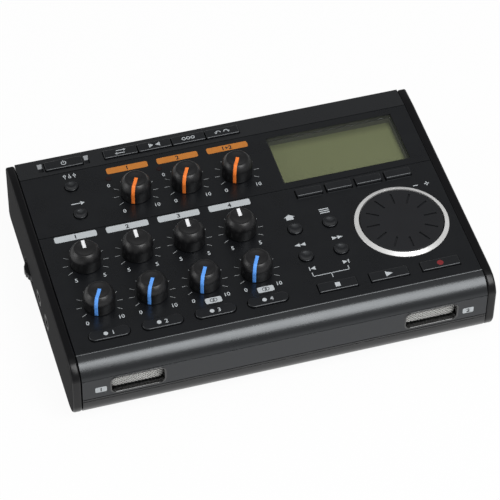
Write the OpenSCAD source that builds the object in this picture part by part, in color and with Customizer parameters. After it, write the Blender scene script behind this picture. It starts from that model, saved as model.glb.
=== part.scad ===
// Pocket-size digital multitrack recorder: a flat case with a rounded front, and knobs,
// buttons, a display and a data wheel on its deck.
// Millimetres. +X runs to the right, +Y to the rear, +Z up.
// The origin is on the table, under the middle of the whole object.

/* [Case] */
// Width over the two end panels
body_w = 153.4; // [138:0.1:170]
// Depth of the case, without the jack bushes
body_d = 102; // [91.5:0.5:115]
// Height of the deck above the table
body_h = 26.8; // [24.1:0.1:32]
// Height of the rubber feet
foot_h = 1; // [0.6:0.1:2.5]
// Radius of the rubber feet
foot_r = 5; // [3:0.5:6]
// Wall of the upper and lower case
wall = 2.2; // [1.8:0.1:2.4]
// Thickness of an end panel
end_t = 3.3; // [2.4:0.1:3.3]
// Seam left open between two shells
seam = 0.15; // [0.05:0.05:0.3]
// Radius of the front rolls
roll_r = 8; // [7.7:0.1:8.5]
// Depth of the upper front roll
roll_run = 7.6; // [6:0.1:7.6]
// Slope of the narrow facet along the front edge of the deck, in degrees
facet_turn = 8; // [4:1:12]
// Radius of the lower rear edge
rear_round = 3; // [2.8:0.1:4]
// Depth of the tilted rear strip of the deck
rear_strip_d = 9.15; // [8.5:0.05:9.5]
// Drop of the rear strip at the rear edge
rear_strip_drop = 0.6; // [0.2:0.1:0.8]
// Distance of the groove across the deck from the front
deck_groove_in = 63.1; // [62.5:0.1:63.3]
// Width and depth of a fine groove
groove = 0.35; // [0.2:0.05:0.5]
// Height of the front strip
strip_h = 9.35; // [9:0.05:9.6]
// Groove above and below the front strip
strip_gap = 0.35; // [0.2:0.05:0.5]
// Thickness of the front strip
strip_t = 1.6; // [1.2:0.1:2]
// Corner screw, distance from the end faces
post_in_x = 6.2; // [6:0.1:7]
// Rear corner screw, distance from the rear face
post_in_y = 14; // [12:0.5:14.5]
// Clearance between a front corner post and the row of buttons before it
post_gap = 0.75; // [0.4:0.05:1.5]
// Radius of the screw posts
post_r = 2.8; // [2.4:0.1:3]
// Radius of the screw shank
screw_r = 1.2; // [1:0.1:1.4]

/* [Knobs] */
// Distance between neighbouring columns of knobs
col_pitch = 18.9; // [18:0.1:20]
// Track column 1, distance from the left face
track_in = 16.85; // [16:0.05:18]
// Distance between track column 4 and the stop button
mid_gap = 25.35; // [24:0.05:27]
// Input column 1, distance from the left face
input_in = 42.4; // [41:0.1:43]
// Row of track level knobs, distance from the front
level_row = 28; // [27:0.1:29]
// Row of pan knobs, distance from the front
pan_row = 48.1; // [47:0.1:49]
// Row of input and master knobs, distance from the front
input_row = 75.9; // [75:0.1:76.5]
// Row of input and master knobs, distance from the rear face
input_rear = 26.1; // [25.5:0.1:27]
// Radius of a knob at its widest
knob_r = 5.6; // [5:0.05:6.2]
// Radius of a knob at its rim
knob_rim_r = 3.9; // [3.7:0.05:4.4]
// Height of the upright lower part of a knob's side
knob_belly = 3.8; // [2.5:0.1:4.5]
// Height of a knob above the deck
knob_h = 7.7; // [6.5:0.1:9]
// Running gap between a knob and the deck
knob_gap = 0.2; // [0.15:0.05:0.4]
// Radius of the hollow in a knob's top
dish_r = 3.6; // [3:0.1:3.6]
// Depth of the hollow in a knob's top
dish_deep = 0.45; // [0.2:0.05:0.6]
// Radius of a potentiometer shaft
shaft_r = 2.5; // [2:0.1:3]
// Running fit of a shaft in its bearing
shaft_fit = 0.06; // [0.02:0.01:0.1]
// Side of a potentiometer body
pot_w = 10; // [8:0.5:12]

/* [Data wheel] */
// Wheel centre, distance from the right face
wheel_in = 23.3; // [22.5:0.1:24]
// Wheel centre, distance from the front
wheel_row = 36.8; // [36:0.1:37.5]
// Outer radius of the bright ring
ring_r = 17; // [16.5:0.1:17.5]
// Width of the bright ring
ring_w = 1.6; // [1.2:0.1:2]
// Height of the ring's inner edge above the deck
ring_h = 1; // [0.6:0.1:1.5]
// Gap between the wheel and its ring
wheel_gap = 0.3; // [0.2:0.05:0.5]
// Height of the wheel above the deck
wheel_h = 0.9; // [0.5:0.1:1.5]
// Number of finger grooves in the wheel
wheel_grooves = 12; // [6:1:16]
// Depth of a finger groove
wheel_groove_deep = 0.45; // [0.2:0.05:0.6]

/* [Buttons] */
// Travel of a button
travel = 0.6; // [0.3:0.1:0.8]
// Gap round a button in the deck
button_gap = 0.25; // [0.15:0.05:0.3]
// Lip that keeps a button under the deck
lip = 0.7; // [0.5:0.1:0.9]
// Thickness of that lip
lip_t = 0.8; // [0.6:0.1:1]
// Height of the flat buttons above the deck
flat_proud = 0.7; // [0.3:0.1:1]
// Height of the function and rear buttons above the deck
key_proud = 1.1; // [0.5:0.1:1.4]
// Row of arming and transport buttons, distance from the front
transport_row = 14; // [13.6:0.1:14.4]
// Size of an arming button
arm_size = [14.6, 4.5]; // [3:0.1:16]
// Size of a transport button
transport_size = [14, 4.2]; // [3:0.1:16]
// Record button, distance from the right face
record_in = 16.7; // [16:0.1:17.5]
// Size of a function button
function_size = [9.6, 3.5]; // [3:0.1:10]
// Row of function buttons, distance from the front
function_row = 59.6; // [59:0.1:60]
// Distance between function buttons
function_pitch = 11.2; // [11.2:0.1:11.5]
// Radius of a round button
round_r = 2.6; // [2.3:0.1:3]
// Depth of the hollow in the top of a round button
round_dish = 0.5; // [0.2:0.05:0.6]
// Column of home and rewind, distance from the right face
home_in = 61.05; // [60.5:0.05:61.5]
// Column of menu and forward, distance from the right face
menu_in = 48.1; // [47.8:0.1:48.5]
// Row of home and menu, distance from the front
home_row = 43.5; // [43:0.1:44]
// Row of rewind and forward, distance from the front
rewind_row = 30; // [29.5:0.1:30.5]
// Radius of the two small round buttons
small_r = 2.4; // [2.2:0.05:2.8]
// Column of the small round buttons, distance from the left face
small_in = 20.7; // [20.2:0.1:21.5]
// Rows of the small round buttons, distance from the front
small_rows = [71.2, 85.2]; // [70:0.1:86]
// Size of the power button
power_size = [14, 4.2]; // [3.5:0.1:15]
// Notch in the deck at each end of the power button
power_notch = [1.8, 4.2]; // [1:0.1:4.5]
// Size of a button in the rear row
rear_size = [12.5, 4]; // [3.5:0.1:12.7]
// Distance between buttons in the rear row
rear_pitch = 12.85; // [12.75:0.05:13]
// Gap between the rear buttons and the inside of the rear wall
rear_gap = 0.4; // [0.3:0.05:0.6]

/* [Display] */
// Window width and depth
window_size = [48.2, 23.4]; // [22:0.1:49]
// Window centre, distance from the right face
window_in = 34.2; // [33.8:0.1:34.6]
// Window centre, distance from the front
window_row = 78; // [77.4:0.1:78.2]
// Thickness of the window
window_t = 1.2; // [0.8:0.1:1.4]
// Depth of the window below the deck
window_sunk = 0.3; // [0.1:0.1:0.5]
// Ledge that the window lies on
window_ledge = 0.45; // [0.4:0.05:1.2]
// Depth of the display glass below the deck
lcd_sunk = 3.4; // [3:0.1:3.8]
// Overlap of the display module past the window opening
lcd_over = 0.5; // [0.4:0.1:1.4]
// Radius of a lamp lens
lamp_r = 1; // [0.7:0.1:1.2]
// Lamp, offset from its input knob
lamp_off = [-7.8, 9.6]; // [-8:0.1:10]

/* [Microphones] */
// Size of a microphone slot in the front strip
mic_slot = [19, 7.5]; // [6:0.1:20]
// Radius of the corners of a microphone slot
mic_round = 2; // [1:0.1:3]
// Microphone slots, distances from the left and the right face
mic_in = [23.2, 24]; // [22:0.1:25]
// Depth of a grille behind the face of the front strip
mic_deep = 2.9; // [2:0.1:3.2]
// Thickness of a grille
grille_t = 0.4; // [0.3:0.1:0.6]
// Overlap of a grille behind its slot
grille_over = 0.8; // [0.5:0.1:0.9]
// Radius of a microphone capsule
capsule_r = 3; // [2.5:0.1:3.5]

/* [Sockets] */
// How far the jack bushes stand out of the rear wall
jack_out = 5; // [3:0.1:6]
// Clearance between an input jack body and the control board
jack_gap = 0.4; // [0.3:0.1:0.5]
// Radius of an input jack bore
jack_bore_r = 3.25; // [3.2:0.01:3.3]
// Radius of an input jack bush
jack_bush_r = 5; // [4.5:0.1:5.5]
// Clearance between an input jack body and the battery bay
jack_bay_gap = 2.25; // [1.25:0.25:4]
// Side of an input jack body
jack_body_w = 12; // [11:0.1:12]
// Radius of an output jack bore
out_bore_r = 1.8; // [1.78:0.01:1.85]
// Output jacks, distances from the front
out_rows = [40, 52]; // [38:0.5:54]
// Height of the output jack axis
out_z = 9; // [8:0.1:10]
// Bush radius and body side of an output jack
out_bush_r = 2.9; // [2.5:0.1:3.2]
// Length of an output jack body
out_body_d = 12; // [10:0.5:14]
// Phones dial, distance from the front
dial_row = 68.5; // [66:0.5:71]
// Height of the middle of the phones dial
dial_z = 5.6; // [5.3:0.1:6]
// Radius of the phones dial
dial_r = 6; // [5.8:0.1:6.5]
// Thickness of the phones dial
dial_t = 2.4; // [2:0.1:2.8]
// How far the phones dial stands out of the left face
dial_out = 1.6; // [1.2:0.1:1.8]
// Radius of the phones dial pin
dial_pin_r = 0.8; // [0.6:0.1:1]
// Card slot opening
card_slot = [25, 2.6]; // [2.4:0.1:26]
// Data socket opening
usb_size = [7.6, 3.2]; // [2.8:0.1:8]
// Radius of the power inlet bore
dc_r = 2.75; // [2.5:0.05:3]
// Clearance between neighbouring sockets on the main board
socket_gap = 2.5; // [1:0.1:3]
// Clearance between the power inlet and the control board
inlet_gap = 0.7; // [0.5:0.1:1]

/* [Boards and cells] */
// Thickness of a circuit board
board_t = 1.6; // [1:0.1:1.6]
// Height of the control board's upper face below the deck's underside
board_drop = 4.6; // [4.4:0.1:4.8]
// Clearance between the cells and the control board
cell_gap = 0.6; // [0.4:0.1:1.6]
// Length of a cell
cell_l = 50.5; // [48:0.1:51]
// Clearance between neighbouring cells
cell_apart = 0.4; // [0.3:0.1:0.7]
// Middle of the battery bay, distance from the left face
bay_in = 56.7; // [55.5:0.1:57.5]
// Middle of the battery bay, distance from the front
bay_row = 44; // [42:0.5:45]
// Room for the contacts at each end of the cells
contact_room = 3; // [2.5:0.1:3.5]
// Thickness of the battery cover
cover_t = 1.2; // [1:0.1:1.4]
// Ledge round the battery opening
cover_ledge = 1.6; // [1.2:0.1:2.5]
// Gap round the battery cover
cover_gap = 0.25; // [0.15:0.05:0.4]
// Travel of the battery cover to the rear
cover_travel = 4; // [3:0.5:5]

/* [Hidden] */
$fn = 64;
// Small clearance between pieces that lie against each other
slip = 0.1;
// How far a cutting shape runs past what it cuts
cut = 1;

// Outline of the case
front_y = -(body_d + jack_out) / 2;
rear_y = front_y + body_d;
left_x = -(body_w + dial_out) / 2 + dial_out;
right_x = left_x + body_w;
base_z = foot_h;
deck_under = body_h - wall;
floor_z = base_z + wall;
roll_y = front_y + roll_run;
roll_z = body_h - roll_r;
strip_top = roll_z + sqrt(roll_r * roll_r - roll_run * roll_run);
strip_z = strip_top - strip_gap - strip_h;
low_roll_y = front_y + roll_r;
low_roll_z = base_z + roll_r;
crease_y = rear_y - rear_strip_d;
shell_x0 = left_x + end_t + seam;
shell_x1 = right_x - end_t - seam;
mid_y = (front_y + rear_y) / 2;

// Heights inside the case
lip_top = deck_under - slip;
board_top = deck_under - board_drop;
board_z = board_top - board_t;
press_gap = travel + slip;
rear_lip_top = lip_top - rear_strip_drop;

// The columns and rows fill the deck, so places on it follow the width and depth of the case
columns_w = track_in + 3 * col_pitch + mid_gap + 2 * col_pitch + record_in;
rows_d = input_row + input_rear;
function across(d) = d * body_w / columns_w;
function along(d) = d * body_d / rows_d;
function from_left(d) = left_x + across(d);
function from_right(d) = right_x - across(d);
function from_front(d) = front_y + along(d);
// Place of one of several in a row, from the row's middle
function spread(i, count, pitch) = (i - (count - 1) / 2) * pitch;
tracks = [0:3];
function track_x(i) = from_left(track_in + i * col_pitch);
function input_x(i) = from_left(input_in + i * col_pitch);
function pan_place(i) = [track_x(i), from_front(pan_row)];
function level_place(i) = [track_x(i), from_front(level_row)];
function input_place(i) = [input_x(i), from_front(input_row)];
function lamp_place(i) = input_place(i) + lamp_off;
pots = [
    for (i = tracks) pan_place(i),
    for (i = tracks) level_place(i),
    for (i = [0:2]) input_place(i)
];
wheel_c = [from_right(wheel_in), from_front(wheel_row)];
wheel_r = ring_r - ring_w - wheel_gap;
window_c = [from_right(window_in), from_front(window_row)];
window = [across(window_size[0]), along(window_size[1])];
opening_size = [window[0] - 2 * window_ledge, window[1] - 2 * window_ledge];
lcd_z = body_h - lcd_sunk;
rear_row_y = rear_y - wall - rear_gap - rear_size[1] / 2;
power_y = rear_y - wall - rear_gap - power_size[1] / 2;
notch_gap = 0.5;
notch_out = power_size[0] / 2 + button_gap + notch_gap + power_notch[0] / 2;
post_front_y = from_front(transport_row) + arm_size[1] / 2 + lip + post_gap + post_r;
post_rear_y = rear_y - post_in_y;
posts = [
    for (x = [left_x + post_in_x, right_x - post_in_x])
        for (y = [post_front_y, post_rear_y]) [x, y]
];
board_post_r = 2.2;
board_post_off = 11;
// The post in front of the wheel stands just outside its ring, to the right
wheel_post_gap = 1.3;
wheel_post_out = ring_r + board_post_r + wheel_post_gap;
wheel_post_turn = 34;
board_posts = [
    [(track_x(0) + track_x(1)) / 2, from_front(pan_row) + board_post_off],
    [(track_x(0) + track_x(1)) / 2, from_front(level_row) - pot_w / 2 - board_post_r],
    wheel_c + wheel_post_out * [sin(wheel_post_turn), -cos(wheel_post_turn)],
    [window_c[0] - window[0] / 2 - board_post_off / 2, window_c[1] + window[1] / 2]
];

// Buttons: name, centre, size (a single number is a radius), height, kind
button_list = concat(
    [["power_button", [from_left(small_in), power_y], power_size, key_proud, "rear"]],
    [for (i = [0:3]) [["loop_button", "marker_button", "mode_button", "undo_button"][i],
        [input_x(1) + spread(i, 4, across(rear_pitch)), rear_row_y],
        [across(rear_size[0]), rear_size[1]], key_proud, "rear"]],
    [for (i = [0:1]) [["assign_button", "input_setting_button"][i],
        [from_left(small_in), from_front(small_rows[i])], small_r, flat_proud, "round"]],
    [for (i = [0:3]) [str("function_button_", i + 1),
        [window_c[0] + spread(i, 4, across(function_pitch)), from_front(function_row)],
        [across(function_size[0]), function_size[1]], key_proud, "key"]],
    [["home_button", [from_right(home_in), from_front(home_row)], round_r, flat_proud, "round"],
     ["menu_button", [from_right(menu_in), from_front(home_row)], round_r, flat_proud, "round"],
     ["rewind_button", [from_right(home_in), from_front(rewind_row)], round_r, flat_proud, "round"],
     ["forward_button", [from_right(menu_in), from_front(rewind_row)], round_r, flat_proud, "round"]],
    [for (i = [0:2]) [["stop_button", "play_button", "record_button"][i],
        [from_right(record_in + (2 - i) * col_pitch), from_front(transport_row)],
        transport_size, flat_proud, "key"]],
    [for (i = tracks) [str("arm_button_", i + 1),
        [track_x(i), from_front(transport_row)], arm_size, flat_proud, "stadium"]]
);
function lip_top_of(kind) = kind == "rear" ? rear_lip_top : lip_top;
function switch_top_of(kind) = lip_top_of(kind) - lip_t - press_gap;

// Battery bay
cell_count = 4;
cells = [0:cell_count - 1];
bay_c = [from_left(bay_in), from_front(bay_row)];
cell_d = board_z - cell_gap - floor_z - slip;
cell_pitch = cell_d + cell_apart;
bay_w = cell_count * cell_pitch;
bay_d = cell_l + 2 * contact_room;
cell_z = floor_z + slip + cell_d / 2;
function cell_x(i) = bay_c[0] + spread(i, cell_count, cell_pitch);
cover_w = bay_w + 2 * cover_ledge;
cover_d = bay_d + 2 * cover_ledge;

// Small sizes of the inner pieces
bead_h = 1.05;
notch_deep = 0.8;
notch_ramp = 1.2;
bay_wall = 1.2;
hook_w = 5;
hook_t = 1;
hook_reach = 2;
screw_head_r = 2.2;
screw_head_t = 1.4;
screw_head_deep = 2;
screw_slot = 0.5;
socket_wall = 1.2;
socket_skin = 0.5;
press_fit = 0.02;
board_gap = 0.5;
bush_wall = 1;
knob_roof = 2.6;
// Slant of a knob's lower side, and how far its dome would reach past that side
knob_draft = 0.1;
dome_over = 0.05;
hub_r = 5;
encoder_w = 12;
encoder_h = 2.6;
switch_w = 4.4;
plunger_r = 1.2;
plunger_h = 0.5;
wheel_round = 0.5;
round_edge = 0.4;
wheel_groove_w = 0.7;
groove_from = 0.55;
groove_to = 0.87;
ring_edge = 0.25;
capsule_d = 4.5;
jack_nut_w = 1.6;
jack_nut_t = 1.8;
dial_gap = 0.35;
dial_notches = 24;
dial_notch_r = 0.35;
dial_pot_w = 8;
dial_pot_h = 3.2;
card_deep = 26;
usb_deep = 9;
dc_deep = 13;
dc_pin_r = 0.65;
contact_t = 0.5;
contact_half = 5;
stud_r = 1.7;
foot_in_x = 14.7;
foot_in_y = 14;

// Places at the sides and in the base
dial_c = [left_x - dial_out + dial_r, from_front(dial_row)];
mic_xs = [from_left(mic_in[0]), from_right(mic_in[1])];
mic_z = (strip_z + strip_top - strip_gap) / 2;
grille_y = front_y + mic_deep;
jack_z = board_z - jack_gap - jack_body_w / 2;
jack_body_d = rear_y - wall - slip - jack_bay_gap - bay_wall - bay_d / 2 - bay_c[1];
main_top = board_z - inlet_gap - 2 * (dc_r + socket_wall);
main_z = main_top - board_t;
dc_y = post_rear_y - post_r - socket_gap - dc_r - socket_wall;
usb_y = dc_y - dc_r - socket_wall - socket_gap - socket_skin - usb_size[0] / 2;
card_y = usb_y - usb_size[0] / 2 - socket_skin - socket_gap - socket_wall - card_slot[0] / 2;
card_z = main_top + card_slot[1] / 2 + socket_skin;
usb_z = main_top + usb_size[1] / 2 + socket_skin;
dc_z = main_top + dc_r + socket_wall;
main_x0 = bay_c[0] + bay_w / 2 + bay_wall + 2 * board_gap + board_post_r;
main_posts = [
    for (x = [main_x0 + board_post_r, shell_x1 - 2 * board_post_r])
        for (y = [post_front_y + 3 * post_r, post_rear_y - 3 * post_r]) [x, y]
];
foot_places = [
    for (x = [from_left(foot_in_x), from_right(foot_in_x)])
        for (y = [front_y + foot_in_y, rear_y - foot_in_y]) [x, y]
];

// Box between two corners
module block(low, high) {
    translate(low) cube(high - low);
}

// Plate of a given size centred on a point, between two heights
module plate(c, size, z0, z1) {
    translate([c[0] - size[0] / 2, c[1] - size[1] / 2, z0]) cube([size[0], size[1], z1 - z0]);
}

// Upright cylinder between two heights
module post(c, r, z0, z1) {
    translate([c[0], c[1], z0]) cylinder(r = r, h = z1 - z0);
}

// Plate with round ends, lying along X
module stadium(c, size, z0, z1) {
    r = size[1] / 2;
    half = size[0] / 2 - r;
    for (s = [-1, 1]) post([c[0] + s * half, c[1]], r, z0, z1);
    plate(c, [2 * half, size[1]], z0, z1);
}

// Extrude an outline drawn in Y and Z along X
module along_x(x0, x1) {
    translate([x0, 0, 0]) rotate([90, 0, 90]) linear_extrude(x1 - x0) children();
}

// Cylinder lying along Y, from y0 to y1
module rod_y(x, z, r, y0, y1) {
    translate([x, y1, z]) rotate([90, 0, 0]) cylinder(r = r, h = y1 - y0);
}

// Cylinder lying along X, from x0 to x1
module rod_x(y, z, r, x0, x1) {
    translate([x0, y, z]) rotate([0, 90, 0]) cylinder(r = r, h = x1 - x0);
}

// Solid with the side outline of the case, from x0 to x1, drawn in by an inset all round
module case_solid(x0, x1, inset = 0) {
    front = front_y + inset;
    rear = rear_y - inset;
    top = body_h - inset;
    base = base_z + inset;
    union() {
        along_x(x0, x1) polygon([
            [roll_y, roll_z],
            [roll_y, top],
            [crease_y, top],
            [rear, top - rear_strip_drop],
            [rear, base_z + rear_round],
            [rear_y - rear_round, base_z + rear_round],
            [rear_y - rear_round, base],
            [low_roll_y, base],
            [low_roll_y, low_roll_z],
            [front, low_roll_z],
            [front, roll_z]
        ]);
        intersection() {
            rod_x(roll_y, roll_z, roll_r - inset, x0, x1);
            block([x0, front, low_roll_z], [x1, roll_y + roll_r, body_h]);
        }
        rod_x(low_roll_y, low_roll_z, roll_r - inset, x0, x1);
        rod_x(rear_y - rear_round, base_z + rear_round, rear_round - inset, x0, x1);
    }
}

// Outside of the case from x0 to x1, with the facet along the front edge of the deck
module case_outside(x0, x1) {
    difference() {
        case_solid(x0, x1);
        translate([x0, roll_y, body_h]) rotate([facet_turn, 0, 0])
            block([-cut, -roll_r, 0], [x1 - x0 + cut, roll_r, roll_r]);
    }
}

// Hollow tube of the case between the end panels
module case_tube() {
    difference() {
        case_outside(shell_x0, shell_x1);
        case_solid(shell_x0 - cut, shell_x1 + cut, wall);
    }
}

// Shape of a button's shank at a size grown by g
module button_shape(b, g, z0, z1) {
    c = b[1];
    size = b[2];
    if (b[4] == "round") post(c, size + g, z0, z1);
    else if (b[4] == "stadium") stadium(c, [size[0] + 2 * g, size[1] + 2 * g], z0, z1);
    else plate(c, [size[0] + 2 * g, size[1] + 2 * g], z0, z1);
}

// Shallow notch beside the power button, with a ramp at its rear end
module power_notch_at(x) {
    y0 = power_y - power_notch[1] / 2;
    y1 = power_y + power_notch[1] / 2;
    floor = body_h - rear_strip_drop - notch_deep;
    along_x(x - power_notch[0] / 2, x + power_notch[0] / 2) polygon([
        [y0, floor],
        [y1 - notch_ramp, floor],
        [y1 + notch_ramp, floor + 2 * notch_deep],
        [y0, floor + 2 * notch_deep]
    ]);
}

// Holes in the deck for every control
module deck_holes() {
    for (b = button_list) button_shape(b, button_gap, deck_under - cut, body_h + cut);
    for (p = pots) post(p, shaft_r + bush_wall + slip, deck_under - cut, body_h + cut);
    post(wheel_c, ring_r - slip - ring_w / 2, deck_under - cut, body_h + cut);
    for (s = [-1, 1]) power_notch_at(from_left(small_in) + s * notch_out);
    plate(window_c, window, body_h - window_sunk - window_t, body_h + cut);
    plate(window_c, opening_size, lcd_z - cut, body_h);
    for (i = [0:1]) post(lamp_place(i), lamp_r + slip / 2, deck_under - cut, body_h + cut);
    plate([(left_x + right_x) / 2, from_front(deck_groove_in)],
        [body_w, groove], body_h - groove, body_h + cut);
    plate([(left_x + right_x) / 2, crease_y], [body_w, groove], body_h - groove, body_h + cut);
}

// Round holes in the rear wall for the input jacks
module jack_holes() {
    for (i = [0:1])
        rod_y(input_x(i), jack_z, jack_bush_r + slip, rear_y - wall - cut, rear_y + cut);
}

// Opening in the base for the cells, with the recess that the cover slides in
module battery_opening() {
    plate(bay_c, [bay_w, bay_d], base_z - cut, floor_z + cut);
    recess_d = cover_d + 2 * cover_gap + cover_travel;
    plate([bay_c[0], bay_c[1] + cover_travel / 2], [cover_w + 2 * cover_gap, recess_d],
        base_z - cut, base_z + cover_t + slip);
}

// Hook of the battery cover, grown by g for its notch in the bay wall
module cover_hook(x, g) {
    y0 = bay_c[1] - bay_d / 2;
    block([x - hook_w / 2 - g, y0 - hook_reach - g, floor_z + slip - g],
        [x + hook_w / 2 + g, y0 + hook_t + cover_gap, floor_z + slip + hook_t + g]);
}

// Stepped hole for a case screw, from below
module screw_hole(p) {
    post(p, screw_r + slip, base_z - cut, jack_z + cut);
    post(p, screw_head_r + slip, base_z - cut, base_z + screw_head_deep);
}

module upper_case() {
    color("#24252a") difference() {
        union() {
            intersection() {
                case_tube();
                union() {
                    block([left_x, front_y, strip_top], [right_x, rear_y, body_h]);
                    block([left_x, mid_y, jack_z + seam / 2], [right_x, rear_y, body_h]);
                }
            }
            for (p = posts) post(p, post_r, jack_z + seam / 2, deck_under);
            for (p = board_posts) post(p, board_post_r, board_top, deck_under);
            plate(window_c, window, lcd_z + slip, deck_under);
        }
        deck_holes();
        jack_holes();
        for (p = posts) post(p, screw_r + slip / 2, jack_z - cut, deck_under - wall);
    }
}

module lower_case() {
    color("#2b2c30") difference() {
        union() {
            intersection() {
                case_tube();
                union() {
                    block([left_x, front_y, base_z], [right_x, mid_y, strip_z - strip_gap]);
                    block([left_x, mid_y, base_z], [right_x, rear_y, jack_z - seam / 2]);
                }
            }
            for (p = posts) post(p, post_r, floor_z, jack_z - seam / 2);
            for (p = main_posts) post(p, board_post_r, floor_z, main_z);
            plate(bay_c, [bay_w + 2 * bay_wall, bay_d + 2 * bay_wall], floor_z, cell_z);
        }
        plate(bay_c, [bay_w, bay_d], floor_z, cell_z + cut);
        battery_opening();
        for (s = [-1, 1]) cover_hook(bay_c[0] + s * cell_pitch, cover_gap);
        jack_holes();
        for (p = posts) screw_hole(p);
        block([left_x, front_y - cut, strip_z - bead_h - groove],
            [right_x, front_y + groove, strip_z - bead_h]);
    }
}

module left_end_panel() {
    dial_reach = dial_r - dial_out - end_t;
    slot_half = sqrt(dial_r * dial_r - dial_reach * dial_reach) + dial_gap;
    color("#26272b") difference() {
        case_outside(left_x, left_x + end_t);
        block([left_x - cut, dial_c[1] - slot_half, dial_z - dial_t / 2 - dial_gap],
            [left_x + end_t + cut, dial_c[1] + slot_half, dial_z + dial_t / 2 + dial_gap]);
        for (d = out_rows)
            rod_x(from_front(d), out_z, out_bush_r + slip, left_x - cut, left_x + end_t + cut);
    }
}

module right_end_panel() {
    x0 = right_x - end_t - cut;
    x1 = right_x + cut;
    color("#26272b") difference() {
        case_outside(right_x - end_t, right_x);
        block([x0, card_y - card_slot[0] / 2, card_z - card_slot[1] / 2],
            [x1, card_y + card_slot[0] / 2, card_z + card_slot[1] / 2]);
        block([x0, usb_y - usb_size[0] / 2, usb_z - usb_size[1] / 2],
            [x1, usb_y + usb_size[0] / 2, usb_z + usb_size[1] / 2]);
        rod_x(dc_y, dc_z, dc_r + socket_wall / 2, x0, x1);
    }
}

// Shape of a microphone slot grown by g, between two depths
module mic_shape(x, g, y0, y1) {
    u = mic_slot[0] / 2 - mic_round;
    v = mic_slot[1] / 2 - mic_round;
    r = mic_round + g;
    for (s = [-1, 1]) for (t = [-1, 1]) rod_y(x + s * u, mic_z + t * v, r, y0, y1);
    block([x - u - r, y0, mic_z - v], [x + u + r, y1, mic_z + v]);
    block([x - u, y0, mic_z - v - r], [x + u, y1, mic_z + v + r]);
}

module front_strip() {
    strip_rear = front_y + strip_t;
    color("#303135") difference() {
        union() {
            block([shell_x0, front_y, strip_z], [shell_x1, strip_rear, strip_top - strip_gap]);
            for (x = mic_xs) mic_shape(x, grille_over, strip_rear - strip_t / 2, grille_y);
        }
        for (x = mic_xs) mic_shape(x, 0, front_y - cut, grille_y + cut);
    }
}

module mic_grilles() {
    color("#a8a8a6") for (x = mic_xs)
        mic_shape(x, grille_over, grille_y, grille_y + grille_t);
}

module mic_capsules() {
    y0 = grille_y + grille_t + slip;
    color("silver") for (x = mic_xs) rod_y(x, mic_z, capsule_r, y0, y0 + capsule_d);
}

module display_window() {
    size = [window[0] - 2 * slip, window[1] - 2 * slip];
    z0 = body_h - window_sunk - window_t;
    color("#8a9a8a", 0.35) plate(window_c, size, z0, z0 + window_t);
}

module display_module() {
    size = [opening_size[0] + 2 * lcd_over, opening_size[1] + 2 * lcd_over];
    color("#6d7351") plate(window_c, size, board_top, lcd_z);
}

module wheel_ring() {
    inner = ring_r - ring_w;
    skirt = inner + ring_w / 2 - 2 * slip;
    color("silver") translate([wheel_c[0], wheel_c[1], 0]) rotate_extrude() polygon([
        [inner, deck_under],
        [skirt, deck_under],
        [skirt, body_h],
        [ring_r, body_h],
        [ring_r, body_h + ring_edge],
        [inner, body_h + ring_h]
    ]);
}

module data_wheel() {
    top = body_h + wheel_h;
    under = deck_under + knob_gap;
    hub_z = board_top + encoder_h + knob_gap;
    color("#222327") translate([wheel_c[0], wheel_c[1], 0]) {
        difference() {
            union() {
                rotate_extrude() union() {
                    translate([0, under]) square([wheel_r, wheel_h + body_h - under - wheel_round]);
                    translate([0, under]) square([wheel_r - wheel_round, top - under]);
                    translate([wheel_r - wheel_round, top - wheel_round]) circle(wheel_round);
                }
                post([0, 0], hub_r, hub_z, under);
            }
            for (i = [0:wheel_grooves - 1]) rotate(i * 360 / wheel_grooves)
                block([wheel_r * groove_from, -wheel_groove_w / 2, top - wheel_groove_deep],
                    [wheel_r * groove_to, wheel_groove_w / 2, top + cut]);
            post([0, 0], shaft_r + press_fit, hub_z - cut, body_h - wall / 2);
        }
        post([0, 0], shaft_r, board_top + slip, body_h - wall / 2 - slip);
    }
}

// Knob with an upright foot, a domed shoulder and a hollow top, on its shaft
module knob(c) {
    foot = body_h + knob_gap;
    top = body_h + knob_h;
    rise = top - foot - knob_belly;
    dome_r = knob_r + dome_over;
    flare = dome_r - knob_rim_r;
    side_r = (rise * rise + flare * flare) / (2 * flare);
    dish_ball = (dish_r * dish_r + dish_deep * dish_deep) / (2 * dish_deep);
    bore_z = top - knob_roof;
    translate([c[0], c[1], 0]) {
        difference() {
            rotate_extrude() intersection() {
                polygon([[0, foot], [knob_r - knob_draft, foot],
                    [knob_r + knob_draft * rise / knob_belly, top], [0, top]]);
                union() {
                    translate([0, foot - cut]) square([knob_r + cut, knob_belly + cut]);
                    translate([dome_r - side_r, foot + knob_belly]) circle(side_r, $fn = 256);
                }
            }
            translate([0, 0, top - dish_deep + dish_ball]) sphere(dish_ball, $fn = 128);
            post([0, 0], shaft_r + press_fit, foot - cut, bore_z);
        }
        post([0, 0], shaft_r, board_top + slip, bore_z - slip);
    }
}

module pan_knob(i) {
    color("#2a2b2f") knob(pan_place(i));
}

module level_knob(i) {
    color("#2d2e32") knob(level_place(i));
}

module input_knob(i) {
    color("#2d2e32") knob(input_place(i));
}

// Push button: cap and shank in one, with the lip that keeps it under the deck
module button(b) {
    z_lip = lip_top_of(b[4]);
    top = (b[4] == "rear" ? body_h - rear_strip_drop : body_h) + b[3];
    color(b[0] == "record_button" ? "#2e2628" : "#232428") difference() {
        union() {
            button_shape(b, 0, z_lip - lip_t, top);
            button_lip(b, z_lip);
        }
        if (b[4] == "round") button_dish(b, top);
    }
}

// Hollow in the top of a round button
module button_dish(b, top) {
    reach = b[2] - round_edge;
    ball = (reach * reach + round_dish * round_dish) / (2 * round_dish);
    translate([b[1][0], b[1][1], top - round_dish + ball]) sphere(ball, $fn = 128);
}

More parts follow.
